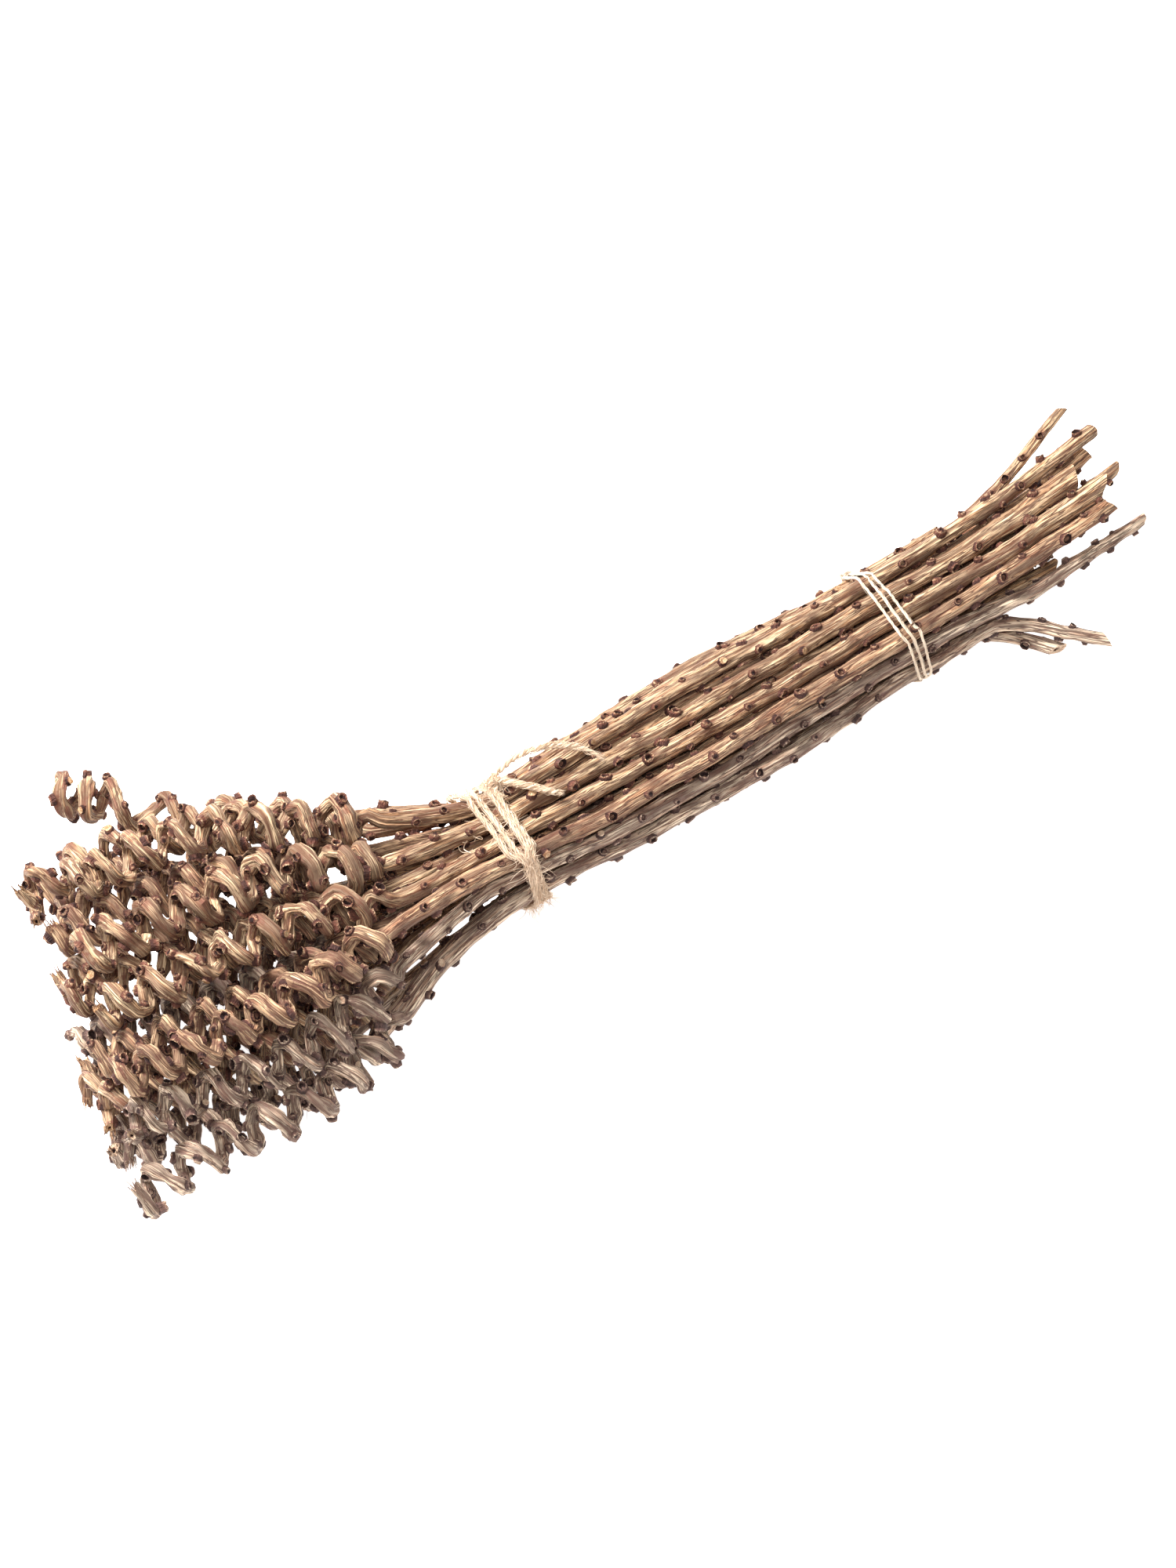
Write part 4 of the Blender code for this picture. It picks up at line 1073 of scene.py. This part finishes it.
def arithmetic(tree, operation, first, second=0.0, third=0.0):
    return put(tree, "ShaderNodeMath", {"operation": operation}, i0=first, i1=second, i2=third).outputs[0]


def ramp(tree, value, low, high):
    node = put(tree, "ShaderNodeMapRange", {"interpolation_type": "SMOOTHSTEP"}, Value=value)
    node.inputs["From Min"].default_value = low
    node.inputs["From Max"].default_value = high
    return node.outputs["Result"]


def noiseAlong(tree, place, scale, stretch, detail, rough=0.55):
    # noise in millimetres, drawn out along the stem or strand
    across, along = scale, scale / stretch
    spread = put(tree, "ShaderNodeMapping", None, Vector=place, Scale=(across, across, along))
    node = put(tree, "ShaderNodeTexNoise", None, Vector=spread.outputs[0], Scale=1.0, Detail=detail,
               Roughness=rough)
    return node.outputs["Fac"]


def lineIn(tree, noise, width):   # 1 along the lines where a noise passes its middle
    away = arithmetic(tree, "ABSOLUTE", arithmetic(tree, "SUBTRACT", noise, 0.5))
    return ramp(tree, away, width, 0.0)


def barkSkinGroup():            # bark colour, roughness and height from the stem's own attributes
    colours = ("Crest", "Body", "Red", "Furrow", "Patch", "DeepMarkAndShade", "Wood")
    inputs = [(label, "NodeSocketColor", (0.5, 0.5, 0.5, 1)) for label in colours]
    inputs += [("Patchiness", "NodeSocketFloat", 0.5)]
    group, start, end = nodeGroup("barkSkin", inputs, (("Color", "NodeSocketColor"),
                                                      ("Roughness", "NodeSocketFloat"),
                                                      ("Height", "NodeSocketFloat")))
    given = start.outputs
    place = put(group, "ShaderNodeAttribute", {"attribute_name": "stemPlace"}).outputs["Vector"]
    values = {name: put(group, "ShaderNodeAttribute", {"attribute_name": name}).outputs["Fac"]
              for name in ("furrow", "scar", "cutFace", "coil")}
    fine = noiseAlong(group, place, 2.3, 18.0, 3.0, 0.6)
    streak = noiseAlong(group, place, 0.62, 15.0, 3.0)
    broad = noiseAlong(group, place, 0.16, 4.0, 2.0)
    mottle = noiseAlong(group, place, 0.22, 1.5, 4.0, 0.62)
    deepLine = lineIn(group, noiseAlong(group, place, 0.36, 18.0, 2.0), 0.07)
    thinLine = lineIn(group, noiseAlong(group, place, 0.62, 14.0, 2.0), 0.06)

    crest = arithmetic(group, "MULTIPLY", ramp(group, fine, 0.36, 0.58), 0.35)
    crest = arithmetic(group, "MULTIPLY_ADD", ramp(group, streak, 0.4, 0.56), 0.65, crest)
    colour = mixColour(group, ramp(group, broad, 0.4, 0.66), given["Body"], given["Red"])
    crest = arithmetic(group, "MULTIPLY_ADD", values["coil"], 0.14, crest)
    crest = arithmetic(group, "MINIMUM", crest, 1.0)
    colour = mixColour(group, crest, colour, given["Crest"])
    thin = arithmetic(group, "MULTIPLY", thinLine, 0.9)
    crack = arithmetic(group, "MULTIPLY", ramp(group, fine, 0.42, 0.32), 0.6)
    deep = arithmetic(group, "MULTIPLY", deepLine, 0.9)
    deep = arithmetic(group, "MAXIMUM", arithmetic(group, "MAXIMUM", deep, thin), crack)
    # the grooves of the relief are darkened as well: partly the bark's dark fissures, partly painted shade
    deep = arithmetic(group, "MAXIMUM", arithmetic(group, "MULTIPLY", values["furrow"], 0.85), deep)
    colour = mixColour(group, deep, colour, given["Furrow"])
    amount = arithmetic(group, "MULTIPLY_ADD", values["coil"], 0.9, given["Patchiness"])
    patch = arithmetic(group, "MULTIPLY", ramp(group, mottle, 0.535, 0.6), amount)
    patch = arithmetic(group, "MINIMUM", patch, 0.85)
    colour = mixColour(group, patch, colour, given["Patch"])
    grainy = mixColour(group, ramp(group, streak, 0.3, 0.7), given["Wood"], given["Body"])
    colour = mixColour(group, values["cutFace"], colour, grainy)
    # bud rims and hollows, the ring round each bud and the pith take the patch colour, then the darkest
    # colour: partly their own colour, partly painted shade in the bud hollows with a paler painted highlight
    # on the rim tops
    scar = arithmetic(group, "MULTIPLY", values["scar"], arithmetic(group, "MULTIPLY_ADD", mottle, 0.8, 0.6))
    colour = mixColour(group, ramp(group, scar, 0.0, 0.5), colour, given["Patch"])
    colour = mixColour(group, ramp(group, scar, 0.42, 0.85), colour, given["DeepMarkAndShade"])
    group.links.new(colour, end.inputs["Color"])
    rough = arithmetic(group, "MULTIPLY_ADD", crest, -0.14, 0.84)
    group.links.new(rough, end.inputs["Roughness"])
    height = arithmetic(group, "MULTIPLY_ADD", fine, 0.45, streak)
    height = arithmetic(group, "MULTIPLY_ADD", mottle, 0.25, height)
    height = arithmetic(group, "MULTIPLY_ADD", deep, -0.55, height)
    group.links.new(height, end.inputs["Height"])
    return group


barkLooks = {
    "cane_golden": {
        "Crest": (0.98, 0.70, 0.43, 1), "Body": (0.54, 0.27, 0.12, 1), "Red": (0.37, 0.138, 0.065, 1),
        "Furrow": (0.060, 0.016, 0.010, 1), "Patch": (0.165, 0.058, 0.036, 1),
        "DeepMarkAndShade": (0.03, 0.010, 0.008, 1), "Wood": (0.84, 0.57, 0.33, 1), "Patchiness": 0.05,
    },
    "cane_brown": {
        "Crest": (0.93, 0.62, 0.37, 1), "Body": (0.46, 0.205, 0.096, 1), "Red": (0.30, 0.105, 0.054, 1),
        "Furrow": (0.048, 0.013, 0.009, 1), "Patch": (0.13, 0.047, 0.032, 1),
        "DeepMarkAndShade": (0.027, 0.009, 0.008, 1), "Wood": (0.74, 0.48, 0.28, 1), "Patchiness": 0.12,
    },
    "cane_grey": {
        "Crest": (1.0, 0.78, 0.57, 1), "Body": (0.56, 0.335, 0.22, 1), "Red": (0.38, 0.175, 0.108, 1),
        "Furrow": (0.055, 0.021, 0.016, 1), "Patch": (0.16, 0.085, 0.066, 1),
        "DeepMarkAndShade": (0.032, 0.014, 0.012, 1), "Wood": (0.80, 0.60, 0.42, 1), "Patchiness": 0.14,
    },
}


def fibreGroup():               # pale fibres along a strand
    group, start, end = nodeGroup("fibres", (
        ("Pale", "NodeSocketColor", (1, 1, 1, 1)), ("Straw", "NodeSocketColor", (1, 1, 1, 1)),
        ("Shade", "NodeSocketColor", (1, 1, 1, 1))), (
        ("Color", "NodeSocketColor"), ("Height", "NodeSocketFloat")))
    place = put(group, "ShaderNodeAttribute", {"attribute_name": "strandPlace"}).outputs["Vector"]
    fine = noiseAlong(group, place, 1.3, 9.0, 2.0)
    broad = noiseAlong(group, place, 0.35, 5.0, 2.0)
    colour = mixColour(group, ramp(group, fine, 0.35, 0.62), start.outputs["Straw"], start.outputs["Pale"])
    colour = mixColour(group, ramp(group, broad, 0.56, 0.75), colour, start.outputs["Shade"])
    group.links.new(colour, end.inputs["Color"])
    group.links.new(fine, end.inputs["Height"])
    return group


juteLooks = {
    "jute": {
        "Pale": (0.86, 0.68, 0.50, 1), "Straw": (0.56, 0.36, 0.22, 1), "Shade": (0.36, 0.21, 0.13, 1),
    },
    "jute_fine": {
        "Pale": (0.90, 0.76, 0.60, 1), "Straw": (0.66, 0.48, 0.33, 1), "Shade": (0.45, 0.3, 0.2, 1),
    },
}

# strength and height of the bump, and what is the same all over
finishes = {
    "bark": {"bump": (1.0, 0.0013), "sockets": {"Specular IOR Level": 0.32}},
    "twine": {"bump": (0.6, 0.0003),
              "sockets": {"Roughness": 0.85, "Sheen Weight": 0.2, "Sheen Roughness": 0.5}},
}


def makeMaterial(name, looks, group, finish):
    material = bpy.data.materials.new(name)
    material.use_nodes = True
    tree = material.node_tree
    shader = tree.nodes["Principled BSDF"]
    skin = tree.nodes.new("ShaderNodeGroup")
    skin.node_tree = group
    for key, value in looks.items():
        skin.inputs[key].default_value = value
    tree.links.new(skin.outputs["Color"], shader.inputs["Base Color"])
    if "Roughness" in skin.outputs:
        tree.links.new(skin.outputs["Roughness"], shader.inputs["Roughness"])
    strength, distance = finish["bump"]
    bump = put(tree, "ShaderNodeBump", None, Strength=strength, Distance=distance,
               Height=skin.outputs["Height"])
    tree.links.new(bump.outputs[0], shader.inputs["Normal"])
    for label, value in finish["sockets"].items():
        shader.inputs[label].default_value = value
    return material


stemSlots = {
    "cane_golden": (2, 4, 6, 8, 11, 13, 15, 18, 20, 22, 23, 24),
    "cane_brown": (3, 7, 9, 14, 17, 19, 21),
    "cane_grey": (1, 5, 10, 12, 16),
}


# Camera, floor and light
studio = {
    "middle": (0.0, 0.0, 52.0),          # layout point seen at the middle of the lower tie
    "azimuth": -32.0, "elevation": 62.0,
    "right": 44.0, "up": 32.0,           # from there to the middle of the picture
    "pictureHeight": 800.0, "distance": 6000.0, "sensor": 36.0,
    "floorSize": 8.0, "floorColour": (0.93, 0.93, 0.93, 1), "floorGlow": 0.86, "world": 0.5,
    # each light: up, back and right in the picture, distance and size in metres, watts
    "lights": {
        "keyLight": ((0.95, 0.75, -0.85), 1.6, 0.42, 68.0),
        "fillLight": ((0.15, 1.0, -0.1), 2.2, 0.6, 26.0),
    },
}


def viewDirections():
    azimuth, elevation = math.radians(-studio["azimuth"]), math.radians(studio["elevation"])
    right = np.array((math.cos(azimuth), -math.sin(azimuth), 0.0))
    up = np.array((math.sin(azimuth) * math.sin(elevation), math.cos(azimuth) * math.sin(elevation),
                   math.cos(elevation)))
    return right, up, np.cross(right, up)


def makeCamera(shift):
    right, up, back = viewDirections()
    middle = np.array(studio["middle"]) + shift + studio["right"] * right + studio["up"] * up
    data = bpy.data.cameras.new("camera")
    data.sensor_width = studio["sensor"]
    data.lens = studio["sensor"] * studio["distance"] / studio["pictureHeight"]
    camera = bpy.data.objects.new("camera", data)
    camera.location = (middle + studio["distance"] * back) * mm
    camera.rotation_euler = Vector(back).to_track_quat("Z", "Y").to_euler()
    data.clip_start, data.clip_end = 0.05, 50.0
    bpy.context.scene.collection.objects.link(camera)
    bpy.context.scene.camera = camera


def areaLight(name, direction, distance, size, power, target):
    data = bpy.data.lights.new(name, "AREA")
    data.energy = power
    data.shape = "SQUARE"
    data.size = size
    light = bpy.data.objects.new(name, data)
    direction = Vector(direction).normalized()
    light.location = target + distance * direction
    light.rotation_euler = direction.to_track_quat("Z", "Y").to_euler()
    bpy.context.scene.collection.objects.link(light)


def makeStudio():
    deselectAll()
    bpy.ops.mesh.primitive_plane_add(size=studio["floorSize"], location=(0, 0, 0))
    floor = bpy.context.object
    floor.name = "floor"
    material = bpy.data.materials.new("floorPaper")
    material.use_nodes = True
    shader = material.node_tree.nodes["Principled BSDF"]
    shader.inputs["Base Color"].default_value = studio["floorColour"]
    shader.inputs["Roughness"].default_value = 0.9
    shader.inputs["Emission Color"].default_value = (1, 1, 1, 1)
    shader.inputs["Emission Strength"].default_value = studio["floorGlow"]
    floor.data.materials.append(material)
    world = bpy.data.worlds.new("studio")
    world.use_nodes = True
    world.node_tree.nodes["Background"].inputs["Color"].default_value = (1, 1, 1, 1)
    world.node_tree.nodes["Background"].inputs["Strength"].default_value = studio["world"]
    bpy.context.scene.world = world
    right, up, back = viewDirections()
    target = Vector((0, 0, 0.05))
    for name, ((above, near, side), distance, size, power) in studio["lights"].items():
        areaLight(name, above * up + near * back + side * right, distance, size, power, target)
    bpy.context.scene.view_settings.view_transform = "Standard"


def main():
    shift = shiftToFrame()
    print("moving the layout by", np.round(shift, 2), "mm")
    makeCamera(shift)
    makeStudio()

    print("laying out the stems")
    slots, routes, radii = layOutStems()

    print("mixing the materials")
    skin, fibres = barkSkinGroup(), fibreGroup()
    barks = {name: makeMaterial(name, looks, skin, finishes["bark"]) for name, looks in barkLooks.items()}
    twines = {name: makeMaterial(name, looks, fibres, finishes["twine"])
              for name, looks in juteLooks.items()}

    print("modelling the stems")
    forms = [modelBud(kind) for kind in buds["kinds"]]
    for number, ((row, column), route, size) in enumerate(zip(slots, routes, radii), 1):
        item = makeStem(number, row, column, route, size, forms, shift)
        slot = next(name for name, numbers in stemSlots.items() if number in numbers)
        item.data.materials.append(barks[slot])
        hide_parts(f"twig_{number:02d}")
        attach(item, "root")

    print("tying the bundle")
    for name, key, slot in (("lower_twine", "lower", "jute"), ("upper_twine", "upper", "jute_fine")):
        item = makeTie(name, key, routes, radii, shift)
        item.data.materials.append(twines[slot])
        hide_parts(f"{key}_tie")
        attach(item, "root")
    for name in ("long_tail", "short_tail"):
        item = makeTail(name, shift)
        item.data.materials.append(twines["jute"])
        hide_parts(name)
        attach(item, "root")

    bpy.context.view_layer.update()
    count = 0
    for item in bpy.data.objects:
        if item.type == "MESH" and not item.hide_render:
            item.data.calc_loop_triangles()
            count += len(item.data.loop_triangles)
    print("triangles in all:", count)


main()
